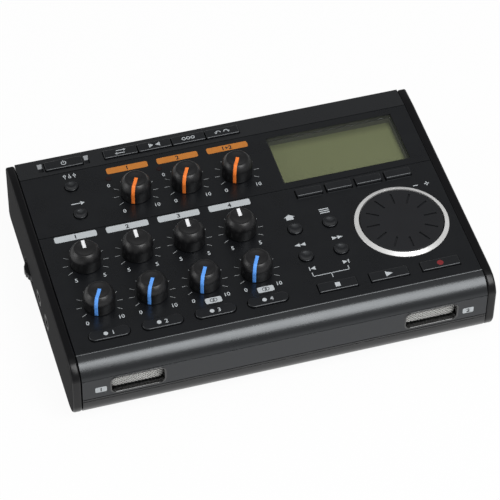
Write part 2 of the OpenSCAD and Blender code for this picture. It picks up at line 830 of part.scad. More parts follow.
module button_lip(b, z_lip) {
    c = b[1];
    size = b[2];
    if (b[4] == "rear")
        block([c[0] - size[0] / 2, c[1] - size[1] / 2 - lip, z_lip - lip_t],
            [c[0] + size[0] / 2, c[1] + size[1] / 2, z_lip]);
    else button_shape(b, lip, z_lip - lip_t, z_lip);
}

module control_board() {
    color("#1f5a36") block(
        [left_x + post_in_x + post_r + board_gap, front_y + roll_run + wall, board_z],
        [right_x - post_in_x - post_r - board_gap, rear_y - wall - board_gap, board_top]);
}

module main_board() {
    color("#1f5a36") block(
        [main_x0, post_front_y + post_r + board_gap, main_z],
        [shell_x1 - board_gap, post_rear_y - post_r - board_gap, main_top]);
}

module rotary_controls() {
    color("#6f7276") {
        for (p = pots) potentiometer(p, pot_w, deck_under - knob_gap, body_h - knob_gap);
        potentiometer(wheel_c, encoder_w, board_top + encoder_h, board_top + encoder_h);
        dial_potentiometer();
    }
}

// Body on the board with a bearing bush for the shaft
module potentiometer(c, side, body_top, bush_top) {
    difference() {
        union() {
            plate(c, [side, side], board_top, body_top);
            if (bush_top > body_top) post(c, shaft_r + bush_wall, body_top, bush_top);
        }
        post(c, shaft_r + shaft_fit, board_top - cut, bush_top + cut);
    }
}

// Bracket on the case floor that carries the pin of the phones dial
module dial_potentiometer() {
    z0 = dial_z + dial_t / 2 + dial_gap;
    leg_x = dial_c[0] + dial_r + dial_gap;
    difference() {
        union() {
            block([shell_x0 + slip, dial_c[1] - dial_pot_w / 2, z0],
                [leg_x + socket_wall, dial_c[1] + dial_pot_w / 2, z0 + dial_pot_h]);
            block([leg_x, dial_c[1] - dial_pot_w / 2, floor_z],
                [leg_x + socket_wall, dial_c[1] + dial_pot_w / 2, z0 + dial_pot_h]);
        }
        post(dial_c, dial_pin_r + shaft_fit, z0 - cut, z0 + dial_pot_h + cut);
    }
}

module push_switches() {
    color("#3a3b40") for (b = button_list) {
        top = switch_top_of(b[4]);
        plate(b[1], [switch_w, switch_w], board_top, top - plunger_h);
        post(b[1], plunger_r, top - plunger_h, top);
    }
}

module lamp_lenses() {
    color("#5a2a26") for (i = [0:1]) {
        post(lamp_place(i), lamp_r, deck_under - slip, body_h + slip);
        post(lamp_place(i), lamp_r + lip, deck_under - slip - lip_t, deck_under - slip);
    }
}

module input_jacks() {
    y0 = rear_y - wall - slip;
    mouth = rear_y + jack_out;
    color("#3c3d42") for (i = [0:1]) {
        x = input_x(i);
        difference() {
            union() {
                block([x - jack_body_w / 2, y0 - jack_body_d, jack_z - jack_body_w / 2],
                    [x + jack_body_w / 2, y0, jack_z + jack_body_w / 2]);
                rod_y(x, jack_z, jack_bush_r, y0, mouth);
            }
            rod_y(x, jack_z, jack_bore_r, y0 - jack_body_d + socket_wall, mouth + cut);
        }
        difference() {
            rod_y(x, jack_z, jack_bush_r + jack_nut_w, rear_y + slip, rear_y + slip + jack_nut_t);
            rod_y(x, jack_z, jack_bush_r + press_fit, rear_y - cut, mouth);
        }
    }
}

module output_jacks() {
    color("#3c3d42") for (d = out_rows) {
        y = from_front(d);
        x1 = shell_x0 + out_body_d;
        difference() {
            union() {
                block([shell_x0, y - out_bush_r, out_z - out_bush_r],
                    [x1, y + out_bush_r, out_z + out_bush_r]);
                rod_x(y, out_z, out_bush_r, left_x, shell_x0);
            }
            rod_x(y, out_z, out_bore_r, left_x - cut, x1 - socket_wall);
        }
    }
}

// Knurled wheel on a pin, standing out of the left end panel
module phones_dial() {
    z0 = dial_z - dial_t / 2;
    color("#1e1f22") {
        difference() {
            post(dial_c, dial_r, z0, z0 + dial_t);
            for (i = [0:dial_notches - 1]) {
                a = (i + 0.5) * 360 / dial_notches;
                post(dial_c + dial_r * [cos(a), sin(a)], dial_notch_r, z0 - cut, z0 + dial_t + cut);
            }
        }
        post(dial_c, dial_pin_r, z0 + dial_t, z0 + dial_t + dial_gap + dial_pot_h);
    }
}

module card_socket() {
    y0 = card_y - card_slot[0] / 2;
    y1 = card_y + card_slot[0] / 2;
    color("silver") difference() {
        block([shell_x1 - card_deep, y0 - socket_wall, main_top],
            [shell_x1, y1 + socket_wall, 2 * card_z - main_top]);
        block([shell_x1 - card_deep + socket_wall, y0, card_z - card_slot[1] / 2],
            [shell_x1 + cut, y1, card_z + card_slot[1] / 2]);
    }
}

module data_socket() {
    y0 = usb_y - usb_size[0] / 2;
    y1 = usb_y + usb_size[0] / 2;
    color("silver") difference() {
        block([shell_x1 - usb_deep, y0 - socket_skin, main_top],
            [shell_x1, y1 + socket_skin, 2 * usb_z - main_top]);
        block([shell_x1 - usb_deep + socket_wall, y0, usb_z - usb_size[1] / 2],
            [shell_x1 + cut, y1, usb_z + usb_size[1] / 2]);
    }
}

module power_inlet() {
    half = dc_r + socket_wall;
    color("#2c2d31") {
        difference() {
            block([shell_x1 - dc_deep, dc_y - half, main_top], [shell_x1, dc_y + half, dc_z + half]);
            rod_x(dc_y, dc_z, dc_r, shell_x1 - dc_deep + socket_wall, shell_x1 + cut);
        }
        rod_x(dc_y, dc_z, dc_pin_r, shell_x1 - dc_deep + socket_wall, shell_x1);
    }
}

module battery_cells() {
    color("#b9a36a") for (i = cells)
        rod_y(cell_x(i), cell_z, cell_d / 2, bay_c[1] - cell_l / 2, bay_c[1] + cell_l / 2);
}

// Contact plates against both end walls of the bay, each with a stud towards its cell
module battery_contacts() {
    low = cell_z - contact_half;
    high = cell_z - bay_wall / 2;
    stud_z = cell_z - contact_half / 2;
    y_front = bay_c[1] - bay_d / 2;
    y_rear = bay_c[1] + bay_d / 2;
    color("#c8c8c4") for (i = cells) {
        x0 = cell_x(i) - contact_half;
        x1 = cell_x(i) + contact_half;
        block([x0, y_front, low], [x1, y_front + contact_t, high]);
        rod_y(cell_x(i), stud_z, stud_r, y_front + contact_t, y_front + contact_room - slip);
        block([x0, y_rear - contact_t, low], [x1, y_rear, high]);
        rod_y(cell_x(i), stud_z, stud_r, y_rear - contact_room + slip, y_rear - contact_t);
    }
}

module battery_cover() {
    color("#26272b") {
        plate(bay_c, [cover_w, cover_d], base_z, base_z + cover_t);
        for (s = [-1, 1]) {
            x = bay_c[0] + s * cell_pitch;
            y0 = bay_c[1] - bay_d / 2 + cover_gap;
            block([x - hook_w / 2, y0, base_z + cover_t],
                [x + hook_w / 2, y0 + hook_t, floor_z + slip + hook_t]);
            cover_hook(x, 0);
        }
    }
}

module case_screws() {
    head_z = base_z + screw_head_deep - screw_head_t;
    color("#8c8f94") for (p = posts) difference() {
        union() {
            post(p, screw_head_r, head_z, head_z + screw_head_t);
            post(p, screw_r, head_z + screw_head_t, deck_under - 2 * wall);
        }
        for (a = [0, 90]) translate([p[0], p[1], head_z]) rotate(a)
            cube([2 * screw_r, screw_slot, screw_head_t], center = true);
    }
}

module feet() {
    color("#1a1a1c") for (p = foot_places) post(p, foot_r, 0, foot_h);
}

upper_case();
lower_case();
left_end_panel();
right_end_panel();
front_strip();
display_window();
display_module();
wheel_ring();
data_wheel();
control_board();
main_board();
rotary_controls();
push_switches();
lamp_lenses();
mic_grilles();
mic_capsules();
input_jacks();
output_jacks();
phones_dial();
card_socket();
data_socket();
power_inlet();
battery_cells();
battery_contacts();
battery_cover();
case_screws();
feet();
for (i = tracks) pan_knob(i);
for (i = tracks) level_knob(i);
input_knob(0);  // input_knob_1
input_knob(1);  // input_knob_2
input_knob(2);  // master_knob
for (b = button_list) button(b);
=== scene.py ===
import math

import bmesh
import bpy
from mathutils import Matrix, Vector


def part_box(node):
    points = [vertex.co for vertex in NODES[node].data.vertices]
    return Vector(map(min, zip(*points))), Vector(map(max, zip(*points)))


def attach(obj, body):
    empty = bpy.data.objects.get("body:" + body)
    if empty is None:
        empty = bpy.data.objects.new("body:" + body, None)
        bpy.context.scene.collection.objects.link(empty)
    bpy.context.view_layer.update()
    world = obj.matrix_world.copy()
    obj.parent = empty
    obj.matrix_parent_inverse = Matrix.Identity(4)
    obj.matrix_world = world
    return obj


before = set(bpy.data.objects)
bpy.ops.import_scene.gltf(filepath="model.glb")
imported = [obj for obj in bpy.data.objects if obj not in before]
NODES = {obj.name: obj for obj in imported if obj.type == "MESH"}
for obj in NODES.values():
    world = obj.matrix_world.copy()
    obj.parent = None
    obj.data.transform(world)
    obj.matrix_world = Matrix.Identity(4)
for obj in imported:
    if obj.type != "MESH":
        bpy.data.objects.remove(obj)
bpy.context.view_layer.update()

# Sizes are in millimetres and become metres where a mesh or a node needs them
MM = 0.001
TRACKS = (1, 2, 3, 4)
ALL_ROUND = 2 * math.pi
WHITE = (1.0, 1.0, 1.0, 1.0)


# Places read from the boxes of the nodes

def box_of(node):
    """Lowest and highest corner of a node's box, in millimetres."""
    low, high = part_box(node)
    return low / MM, high / MM


def middle(node):
    """Centre of a node's box, in millimetres."""
    low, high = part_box(node)
    return (low + high) / 2 / MM


def top_of(node):
    """Highest point of a node, in millimetres."""
    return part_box(node)[1].z / MM


DECK_Z = top_of("upper_case")


def on_top(x, y, z):
    """Place for a print that lies flat and reads from the front."""
    return Matrix.Translation((x, y, z))


def on_front(x, y, z):
    """Place for a print on an upright face that looks towards the front."""
    return Matrix.Translation((x, y, z)) @ Matrix.Rotation(math.pi / 2, 4, "X")


def on_deck(node, across=0.0, along=0.0):
    """Place on the deck, counted from the middle of a node."""
    x, y, _ = middle(node)
    return on_top(x + across, y + along, DECK_Z)


def on_cap(node, across=0.0, along=0.0):
    """Place on a node's own top, counted from its middle."""
    x, y, _ = middle(node)
    return on_top(x + across, y + along, top_of(node))


def beside(place, across, along, rise=0.0):
    """The same place, moved in its own plane and lifted from it."""
    return place @ Matrix.Translation((across, along, rise))


def turned(place, degrees):
    """The same place, turned in its own plane."""
    return place @ Matrix.Rotation(math.radians(degrees), 4, "Z")


# Materials

SLOW_DETAIL = 3.0
FINE_DETAIL = 2.0


def tint(red, green, blue):
    """Linear colour from screen values between 0 and 255, by the usual curve of a screen."""
    def linear(value):
        share = value / 255
        if share <= 0.04045:
            return share / 12.92
        return ((share + 0.055) / 1.055) ** 2.4
    return (linear(red), linear(green), linear(blue), 1.0)


def shaded(colour, factor):
    """A colour made lighter or darker."""
    return tuple(min(1.0, c * factor) for c in colour[:3]) + (1.0,)


def noise(nodes, links, coords, size, detail):
    """Noise whose features are about `size` millimetres across."""
    texture = nodes.new("ShaderNodeTexNoise")
    texture.inputs["Scale"].default_value = 1 / (size * MM)
    texture.inputs["Detail"].default_value = detail
    links.new(coords.outputs["Object"], texture.inputs["Vector"])
    return texture


def smooth_ramp(nodes, links, source, zone, low, high):
    """Node that goes smoothly from `low` to `high` while its source crosses a zone."""
    ramp = nodes.new("ShaderNodeMapRange")
    ramp.interpolation_type = "SMOOTHSTEP"
    ramp.inputs["From Min"].default_value = zone[0]
    ramp.inputs["From Max"].default_value = zone[1]
    ramp.inputs["To Min"].default_value = low
    ramp.inputs["To Max"].default_value = high
    links.new(source, ramp.inputs["Value"])
    return ramp


def surface(name, colour, roughness, specular=0.5, metallic=0.0, mottle=0.1, patch=9.0,
            grain=0.35, depth=0.006, gloss_change=0.12, cast=(1.0, 1.0, 1.0)):
    """A moulded, cast or rubbed surface: slow changes of tone and gloss, and a fine grain."""
    material = bpy.data.materials.new(name)
    material.use_nodes = True
    nodes = material.node_tree.nodes
    links = material.node_tree.links
    shader = nodes["Principled BSDF"]
    shader.inputs["Specular IOR Level"].default_value = specular
    shader.inputs["Specular Tint"].default_value = (*cast, 1.0)
    shader.inputs["Metallic"].default_value = metallic
    coords = nodes.new("ShaderNodeTexCoord")

    slow = noise(nodes, links, coords, patch, SLOW_DETAIL)
    tone = nodes.new("ShaderNodeMix")
    tone.data_type = "RGBA"
    tone.inputs["A"].default_value = shaded(colour, 1 - mottle)
    tone.inputs["B"].default_value = shaded(colour, 1 + mottle)
    links.new(slow.outputs["Fac"], tone.inputs["Factor"])
    links.new(tone.outputs["Result"], shader.inputs["Base Color"])

    gloss = nodes.new("ShaderNodeMapRange")
    gloss.inputs["To Min"].default_value = roughness * (1 - gloss_change)
    gloss.inputs["To Max"].default_value = min(1.0, roughness * (1 + gloss_change))
    links.new(slow.outputs["Fac"], gloss.inputs["Value"])
    links.new(gloss.outputs["Result"], shader.inputs["Roughness"])

    fine = noise(nodes, links, coords, grain, FINE_DETAIL)
    bump = nodes.new("ShaderNodeBump")
    bump.inputs["Distance"].default_value = depth * MM
    links.new(fine.outputs["Fac"], bump.inputs["Height"])
    links.new(bump.outputs["Normal"], shader.inputs["Normal"])
    return material


def ink(name, colour, mottle=0.1, patch=1.2):
    """Dull printed ink."""
    return surface(name, colour, 0.5, specular=0.3, mottle=mottle, patch=patch, grain=0.1)


def paint(name, colour, mottle=0.05):
    """Silky paint for the lines on the knobs."""
    return surface(name, colour, 0.45, specular=0.4, mottle=mottle, patch=1.5)


def painted_edge_shade(nodes, links, axis, start, end, shade):
    """Painted shade: a grey level that falls from 1 at `start` to `shade` at `end` along an axis, in
    millimetres.
    """
    coords = nodes.new("ShaderNodeTexCoord")
    parts = nodes.new("ShaderNodeSeparateXYZ")
    links.new(coords.outputs["Object"], parts.inputs["Vector"])
    ramp = smooth_ramp(nodes, links, parts.outputs[axis], (start * MM, end * MM), 1.0, shade)
    return ramp.outputs["Result"]


def multiplied(nodes, links, colour, level):
    """A colour socket made darker by a grey level or another colour."""
    both = nodes.new("ShaderNodeMix")
    both.data_type = "RGBA"
    both.blend_type = "MULTIPLY"
    both.inputs["Factor"].default_value = 1.0
    links.new(colour, both.inputs["A"])
    links.new(level, both.inputs["B"])
    return both.outputs["Result"]


# The display's dots, and the painted shadow that darkens it along its rear and right edges
DOT = 0.5
DOT_GAP = DOT / 16
DOT_GAP_TONE = (0.9, 0.9, 0.9, 1.0)
SHADOW_EDGE_GAP = 0.8
REAR_PAINTED_SHADOW = 5.0
REAR_SHADOW_LEVEL = 0.55
SIDE_PAINTED_SHADOW = 2.6
SIDE_SHADOW_LEVEL = 0.75


def display_material(name, colour):
    """Unlit liquid crystal: a green-grey sheet with a faint grid of dots, and painted shadow that
    darkens two of its edges.
    """
    material = surface(name, colour, 0.35, specular=0.3, mottle=0.02, patch=25.0, depth=0.001)
    nodes = material.node_tree.nodes
    links = material.node_tree.links
    shader = nodes["Principled BSDF"]
    tone = shader.inputs["Base Color"].links[0].from_node
    coords = nodes.new("ShaderNodeTexCoord")
    grid = nodes.new("ShaderNodeTexBrick")
    grid.offset = 0.0
    grid.inputs["Scale"].default_value = 1 / MM
    grid.inputs["Brick Width"].default_value = DOT
    grid.inputs["Row Height"].default_value = DOT
    grid.inputs["Mortar Size"].default_value = DOT_GAP
    grid.inputs["Color1"].default_value = WHITE
    grid.inputs["Color2"].default_value = WHITE
    grid.inputs["Mortar"].default_value = DOT_GAP_TONE
    links.new(coords.outputs["Object"], grid.inputs["Vector"])
    result = multiplied(nodes, links, tone.outputs["Result"], grid.outputs["Color"])
    # Painted shadow: the sheet grows darker towards its rear and right edges
    high = box_of("display_module")[1]
    rear = painted_edge_shade(nodes, links, "Y", high.y - REAR_PAINTED_SHADOW, high.y - SHADOW_EDGE_GAP, REAR_SHADOW_LEVEL)
    result = multiplied(nodes, links, result, rear)
    side = painted_edge_shade(nodes, links, "X", high.x - SIDE_PAINTED_SHADOW, high.x - SHADOW_EDGE_GAP, SIDE_SHADOW_LEVEL)
    result = multiplied(nodes, links, result, side)
    links.new(result, shader.inputs["Base Color"])
    return material


def clear_material(name, colour, alpha):
    """Clear pane that shows what lies under it."""
    material = surface(name, colour, 0.08, specular=0.5, mottle=0.05, patch=30.0, depth=0.0005)
    material.node_tree.nodes["Principled BSDF"].inputs["Alpha"].default_value = alpha
    return material


# How far a panel's face looks sideways where its gloss ends, and its roughness before and after
PANEL_TURN = (0.8, 0.98)
PANEL_GLOSSY = 0.28
PANEL_DULL = 1.0


def panel_material(name, colour):
    """Grained plastic that shines along its edges and is dull on its upright sides."""
    material = surface(name, colour, PANEL_DULL, specular=0.3, grain=0.5, depth=0.012)
    nodes = material.node_tree.nodes
    links = material.node_tree.links
    face = nodes.new("ShaderNodeNewGeometry")
    parts = nodes.new("ShaderNodeSeparateXYZ")
    links.new(face.outputs["True Normal"], parts.inputs["Vector"])
    sideways = nodes.new("ShaderNodeMath")
    sideways.operation = "ABSOLUTE"
    links.new(parts.outputs["X"], sideways.inputs[0])
    rough = smooth_ramp(nodes, links, sideways.outputs["Value"], PANEL_TURN, PANEL_GLOSSY, PANEL_DULL)
    links.new(rough.outputs["Result"], nodes["Principled BSDF"].inputs["Roughness"])
    return material


# Each row: name, colour, roughness, and what differs from the usual moulded plastic
COOL = (0.93, 0.97, 1.0)
MAT = {
    "deck": surface("deck_plastic", tint(11, 12, 15), 0.28, specular=0.75, mottle=0.06, cast=COOL),
    "case": surface("case_plastic", tint(20, 21, 23), 0.3, specular=0.5, mottle=0.08),
    "panel": panel_material("panel_plastic", tint(11, 11, 13)),
    "strip": surface("strip_plastic", tint(26, 27, 30), 0.32, specular=0.5, cast=COOL),
    "window": clear_material("window_acrylic", tint(120, 124, 110), 0.1),
    "display": display_material("display_glass", tint(117, 123, 86)),
    "bezel": surface("bezel_plastic", tint(56, 57, 54), 0.5, specular=0.3),
    "ring": surface("ring_plating", tint(226, 226, 225), 0.34, metallic=0.4, mottle=0.03,
                    patch=6.0, grain=0.5, depth=0.001, gloss_change=0.05),
    "wheel": surface("wheel_rubber", tint(24, 25, 28), 0.55, specular=0.3, grain=0.25, depth=0.01),
    "knob": surface("knob_rubber", tint(14, 14, 16), 0.38, specular=0.55, grain=0.25, depth=0.004),
    "button": surface("button_plastic", tint(14, 15, 18), 0.32, specular=0.7, grain=0.3, cast=COOL),
    "dial": surface("dial_plastic", tint(20, 20, 22), 0.45, specular=0.4),
    "lamp": surface("lamp_lens", tint(32, 15, 15), 0.25, specular=0.6, mottle=0.2, patch=1.5),
    "grille": surface("grille_backing", tint(150, 150, 148), 0.5, metallic=0.2, grain=0.2,
                      depth=0.02),
    "net": surface("grille_wire", tint(225, 225, 222), 0.45, metallic=0.4, mottle=0.12, patch=0.8),
    "rim": surface("rim_plastic", tint(12, 12, 13), 0.16, specular=1.0, mottle=0.1, depth=0.001),
    "metal": surface("plated_metal", tint(170, 171, 173), 0.3, metallic=1.0, mottle=0.08, patch=3.0),
    "jack": surface("jack_plastic", tint(18, 18, 19), 0.45, specular=0.4),
    "board": surface("board_laminate", tint(24, 66, 40), 0.45, mottle=0.15, patch=4.0),
    "component": surface("component_plastic", tint(30, 30, 32), 0.5),
    "cell": surface("cell_sleeve", tint(86, 88, 92), 0.35, mottle=0.15, patch=6.0),
    "rubber": surface("foot_rubber", tint(26, 26, 27), 0.75, specular=0.2, grain=0.5, depth=0.02),
    "ink": ink("white_ink", tint(186, 191, 194), mottle=0.06),
    "ink_grey": ink("grey_ink", tint(150, 153, 155)),
    "ink_dark": ink("dark_ink", tint(32, 35, 38)),
    "ink_orange": ink("orange_ink", tint(190, 118, 48)),
    "ink_red": ink("red_ink", tint(122, 38, 42), patch=1.0),
    "line_orange": paint("orange_line", tint(255, 132, 52)),
    "line_blue": paint("blue_line", tint(96, 164, 250)),
    "line_white": paint("white_line", tint(235, 236, 238), mottle=0.04),
}

END_PANELS = ["left_end_panel", "right_end_panel"]
KNOBS_PAN = [f"pan_knob_{i}" for i in TRACKS]
KNOBS_LEVEL = [f"level_knob_{i}" for i in TRACKS]
KNOBS_INPUT = ["input_knob_1", "input_knob_2", "master_knob"]
KNOBS = KNOBS_PAN + KNOBS_LEVEL + KNOBS_INPUT
ARM_BUTTONS = [f"arm_button_{i}" for i in TRACKS]
FUNCTION_BUTTONS = [f"function_button_{i}" for i in TRACKS]
REAR_BUTTONS = ["loop_button", "marker_button", "mode_button", "undo_button", "power_button"]
TRANSPORT = ["stop_button", "play_button", "record_button"]
FLAT_BUTTONS = ARM_BUTTONS + FUNCTION_BUTTONS + REAR_BUTTONS + TRANSPORT
ROUND_BUTTONS = ["home_button", "menu_button", "rewind_button", "forward_button",
                 "assign_button", "input_setting_button"]

NODE_MATERIALS = {
    "deck": ["upper_case"],
    "case": ["lower_case", "battery_cover"],
    "panel": END_PANELS,
    "strip": ["front_strip"],
    "window": ["display_window"],
    "display": ["display_module"],
    "ring": ["wheel_ring"],
    "wheel": ["data_wheel"],
    "knob": KNOBS,
    "button": FLAT_BUTTONS + ROUND_BUTTONS,
    "dial": ["phones_dial"],
    "lamp": ["lamp_lenses"],
    "grille": ["mic_grilles"],
    "metal": ["mic_capsules", "card_socket", "data_socket", "battery_contacts", "case_screws"],
    "jack": ["input_jacks", "output_jacks", "power_inlet"],
    "board": ["control_board", "main_board"],
    "component": ["rotary_controls", "push_switches"],
    "cell": ["battery_cells"],
    "rubber": ["feet"],
}
for key, names in NODE_MATERIALS.items():
    for name in names:
        for slot in NODES[name].material_slots:
            slot.material = MAT[key]


# Softened outer edges on the carried-over solids

SHARP_ANGLE = math.radians(32)
ROLL_RUN = 7.6
CREASE_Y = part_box("upper_case")[0].y / MM + ROLL_RUN
CREASE_NEAR = 0.02
# Box round the sockets and slots of the sides: its centre and half its size
SOCKET_ZONE = ((0.0, -2.0, 10.0), (200.0, 42.0, 8.5))
# How wide edges in that box are rounded, against other edges
SOCKET_SHARE = 0.2
# Which inputs of a comparing node take vectors
VECTOR_A = 4
VECTOR_B = 5


def compared(nodes, links, value, operation, limit):
    """Node that compares a value with a limit."""
    test = nodes.new("FunctionNodeCompare")
    test.operation = operation
    test.inputs["B"].default_value = limit
    links.new(value, test.inputs["A"])
    return test


def edge_group(name, rounded):
    """Node group that smooths faces, keeps inner corners and the deck's front crease sharp,
    and marks outer edges for rounding, less so round the holes in the end panels.
    Where nothing is rounded, outer edges stay sharp too."""
    group = bpy.data.node_groups.new(name, "GeometryNodeTree")
    for way in ("INPUT", "OUTPUT"):
        group.interface.new_socket("Geometry", in_out=way, socket_type="NodeSocketGeometry")
    nodes = group.nodes
    links = group.links
    start = nodes.new("NodeGroupInput")
    end = nodes.new("NodeGroupOutput")
    angle = nodes.new("GeometryNodeInputMeshEdgeAngle")
    place = nodes.new("GeometryNodeInputPosition")

    plain = nodes.new("GeometryNodeRemoveAttribute")
    plain.inputs["Name"].default_value = "custom_normal"
    smooth = nodes.new("GeometryNodeSetShadeSmooth")
    smooth.domain = "FACE"
    links.new(start.outputs[0], plain.inputs["Geometry"])
    links.new(plain.outputs["Geometry"], smooth.inputs["Geometry"])

    if rounded:
        corner = compared(nodes, links, angle.outputs["Signed Angle"], "LESS_THAN", -SHARP_ANGLE)
    else:
        corner = compared(nodes, links, angle.outputs["Unsigned Angle"], "GREATER_THAN", SHARP_ANGLE)
    parts = nodes.new("ShaderNodeSeparateXYZ")
    links.new(place.outputs["Position"], parts.inputs["Vector"])
    crease = compared(nodes, links, parts.outputs["Y"], "EQUAL", CREASE_Y * MM)
    crease.inputs["Epsilon"].default_value = CREASE_NEAR * MM
    either = nodes.new("FunctionNodeBooleanMath")
    either.operation = "OR"
    links.new(corner.outputs["Result"], either.inputs[0])
    links.new(crease.outputs["Result"], either.inputs[1])
    sharp = nodes.new("GeometryNodeSetShadeSmooth")
    sharp.domain = "EDGE"
    sharp.inputs["Shade Smooth"].default_value = False
    links.new(smooth.outputs["Geometry"], sharp.inputs["Geometry"])
    links.new(either.outputs["Boolean"], sharp.inputs["Selection"])

    outer = compared(nodes, links, angle.outputs["Signed Angle"], "GREATER_THAN", SHARP_ANGLE)
    offset = nodes.new("ShaderNodeVectorMath")
    offset.operation = "SUBTRACT"
    offset.inputs[1].default_value = Vector(SOCKET_ZONE[0]) * MM
    links.new(place.outputs["Position"], offset.inputs[0])
    apart = nodes.new("ShaderNodeVectorMath")
    apart.operation = "ABSOLUTE"
    links.new(offset.outputs["Vector"], apart.inputs[0])
    within = nodes.new("FunctionNodeCompare")
    within.data_type = "VECTOR"
    within.mode = "ELEMENT"
    within.operation = "LESS_THAN"
    within.inputs[VECTOR_B].default_value = Vector(SOCKET_ZONE[1]) * MM
    links.new(apart.outputs["Vector"], within.inputs[VECTOR_A])
    weight = nodes.new("ShaderNodeMapRange")
    weight.inputs["To Min"].default_value = 1.0
    weight.inputs["To Max"].default_value = SOCKET_SHARE
    links.new(within.outputs["Result"], weight.inputs["Value"])
    marked = nodes.new("ShaderNodeMath")
    marked.operation = "MULTIPLY"
    links.new(outer.outputs["Result"], marked.inputs[0])
    links.new(weight.outputs["Result"], marked.inputs[1])
    store = nodes.new("GeometryNodeStoreNamedAttribute")
    store.data_type = "FLOAT"
    store.domain = "EDGE"
    store.inputs["Name"].default_value = "bevel_weight_edge"
    links.new(sharp.outputs["Geometry"], store.inputs["Geometry"])
    links.new(marked.outputs["Value"], store.inputs["Value"])
    links.new(store.outputs["Geometry"], end.inputs[0])
    return group


ROUNDED_EDGES = edge_group("outer_edges", True)
SHARP_EDGES = edge_group("sharp_edges", False)
WELD = 0.002
FLAT_ANGLE = math.radians(0.4)
BEVEL_STEPS = 3


def soften(node, width, clamped):
    """Rounds a node's outer edges by modifiers alone, `width` millimetres wide, or evens out
    its normals where the width is zero."""
    stack = NODES[node].modifiers
    weld = stack.new("weld", "WELD")
    weld.merge_threshold = WELD * MM
    flat = stack.new("flat_faces", "DECIMATE")
    flat.decimate_type = "DISSOLVE"
    flat.angle_limit = FLAT_ANGLE
    marks = stack.new("outer_edges", "NODES")
    marks.node_group = ROUNDED_EDGES if width else SHARP_EDGES
    if width:
        bevel = stack.new("soft_edges", "BEVEL")
        bevel.limit_method = "WEIGHT"
        bevel.width = width * MM
        bevel.segments = BEVEL_STEPS
        bevel.use_clamp_overlap = clamped
    normals = stack.new("even_normals", "WEIGHTED_NORMAL")
    normals.keep_sharp = True


# How wide the edges are rounded, and on which nodes
SOFT_EDGES = {
    0.8: END_PANELS,
    0.35: ["feet"] + FLAT_BUTTONS,
    0.3: ["front_strip"],
    0.25: ["lower_case", "battery_cover"] + ROUND_BUTTONS,
    0.12: ["wheel_ring", "input_jacks", "output_jacks", "phones_dial"] + KNOBS,
    0.0: ["upper_case"],
}
for width, names in SOFT_EDGES.items():
    for name in names:
        soften(name, width, name not in END_PANELS)


# Outlines, in their own plane

CURVE_STEPS = 8


def arc(centre, radius, first, last, steps=CURVE_STEPS):
    """Points on an arc, angles in degrees."""
    points = []
    for i in range(steps + 1):
        angle = math.radians(first + (last - first) * i / steps)
        points.append((centre[0] + radius * math.cos(angle), centre[1] + radius * math.sin(angle)))
    return points


def circle(radius, steps):
    """Points all the way round, with the first one not repeated."""
    return arc((0, 0), radius, 0, 360 - 360 / steps, steps - 1)


def rounded(width, height, radius):
    """Outline of a rectangle with round corners."""
    x = width / 2 - radius
    y = height / 2 - radius
    return (arc((x, y), radius, 0, 90) + arc((-x, y), radius, 90, 180)
            + arc((-x, -y), radius, 180, 270) + arc((x, -y), radius, 270, 360))


def bar(width, height):
    """Outline of a plain rectangle."""
    x = width / 2
    y = height / 2
    return [(-x, -y), (x, -y), (x, y), (-x, y)]


def pointer(width, height):
    """Outline of a triangle that points to the right."""
    return [(-width / 2, -height / 2), (width / 2, 0), (-width / 2, height / 2)]


def band(radius, width, first, last):
    """Outline of a bent stripe."""
    outside = arc((0, 0), radius + width / 2, first, last, 2 * CURVE_STEPS)
    inside = arc((0, 0), radius - width / 2, last, first, 2 * CURVE_STEPS)
    return outside + inside


def moved(outline, x, y):
    """The same outline somewhere else in its plane."""
    return [(u + x, v + y) for u, v in outline]


# Faces and pieces

def loop_at(bm, place, outline, height):
    """Vertices of an outline in a place's plane, lifted from it by a height."""
    return [bm.verts.new(place @ Vector((u, v, height))) for u, v in outline]


def walls(bm, one, two):
    """Faces between two loops of the same length."""
    for i in range(len(one)):
        j = (i + 1) % len(one)
        bm.faces.new((one[i], one[j], two[j], two[i]))


def closed_tube(bm, loops):
    """Faces from each loop to the next, and from the last to the first."""
    for one, two in zip(loops, loops[1:] + loops[:1]):
        walls(bm, one, two)


def capped_tube(bm, loops):
    """Faces from each loop to the next, with a lid at both ends."""
    for one, two in zip(loops, loops[1:]):
        walls(bm, one, two)
    bm.faces.new(loops[0])
    bm.faces.new(loops[-1][::-1])


def piece_from(bm, name, body, material):
    """Turns built faces into a piece that rides on a body."""
    bmesh.ops.recalc_face_normals(bm, faces=bm.faces)
    mesh = bpy.data.meshes.new(name)
    bm.to_mesh(mesh)
    bm.free()
    mesh.transform(Matrix.Scale(MM, 4))
    mesh.materials.append(MAT[material])
    piece = bpy.data.objects.new(name, mesh)
    bpy.context.scene.collection.objects.link(piece)
    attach(piece, body)
    return piece


# Thin printed shapes

INK_RISE = 0.02
INK_SUNK = 0.01
DISC_STEPS = 3 * CURVE_STEPS
RING_STEPS = 4 * CURVE_STEPS
TEXT_STEPS = 3
# How much bolder numbers are than the plain font, as a share of its size
BOLD = 0.02
BOLDER = 0.03


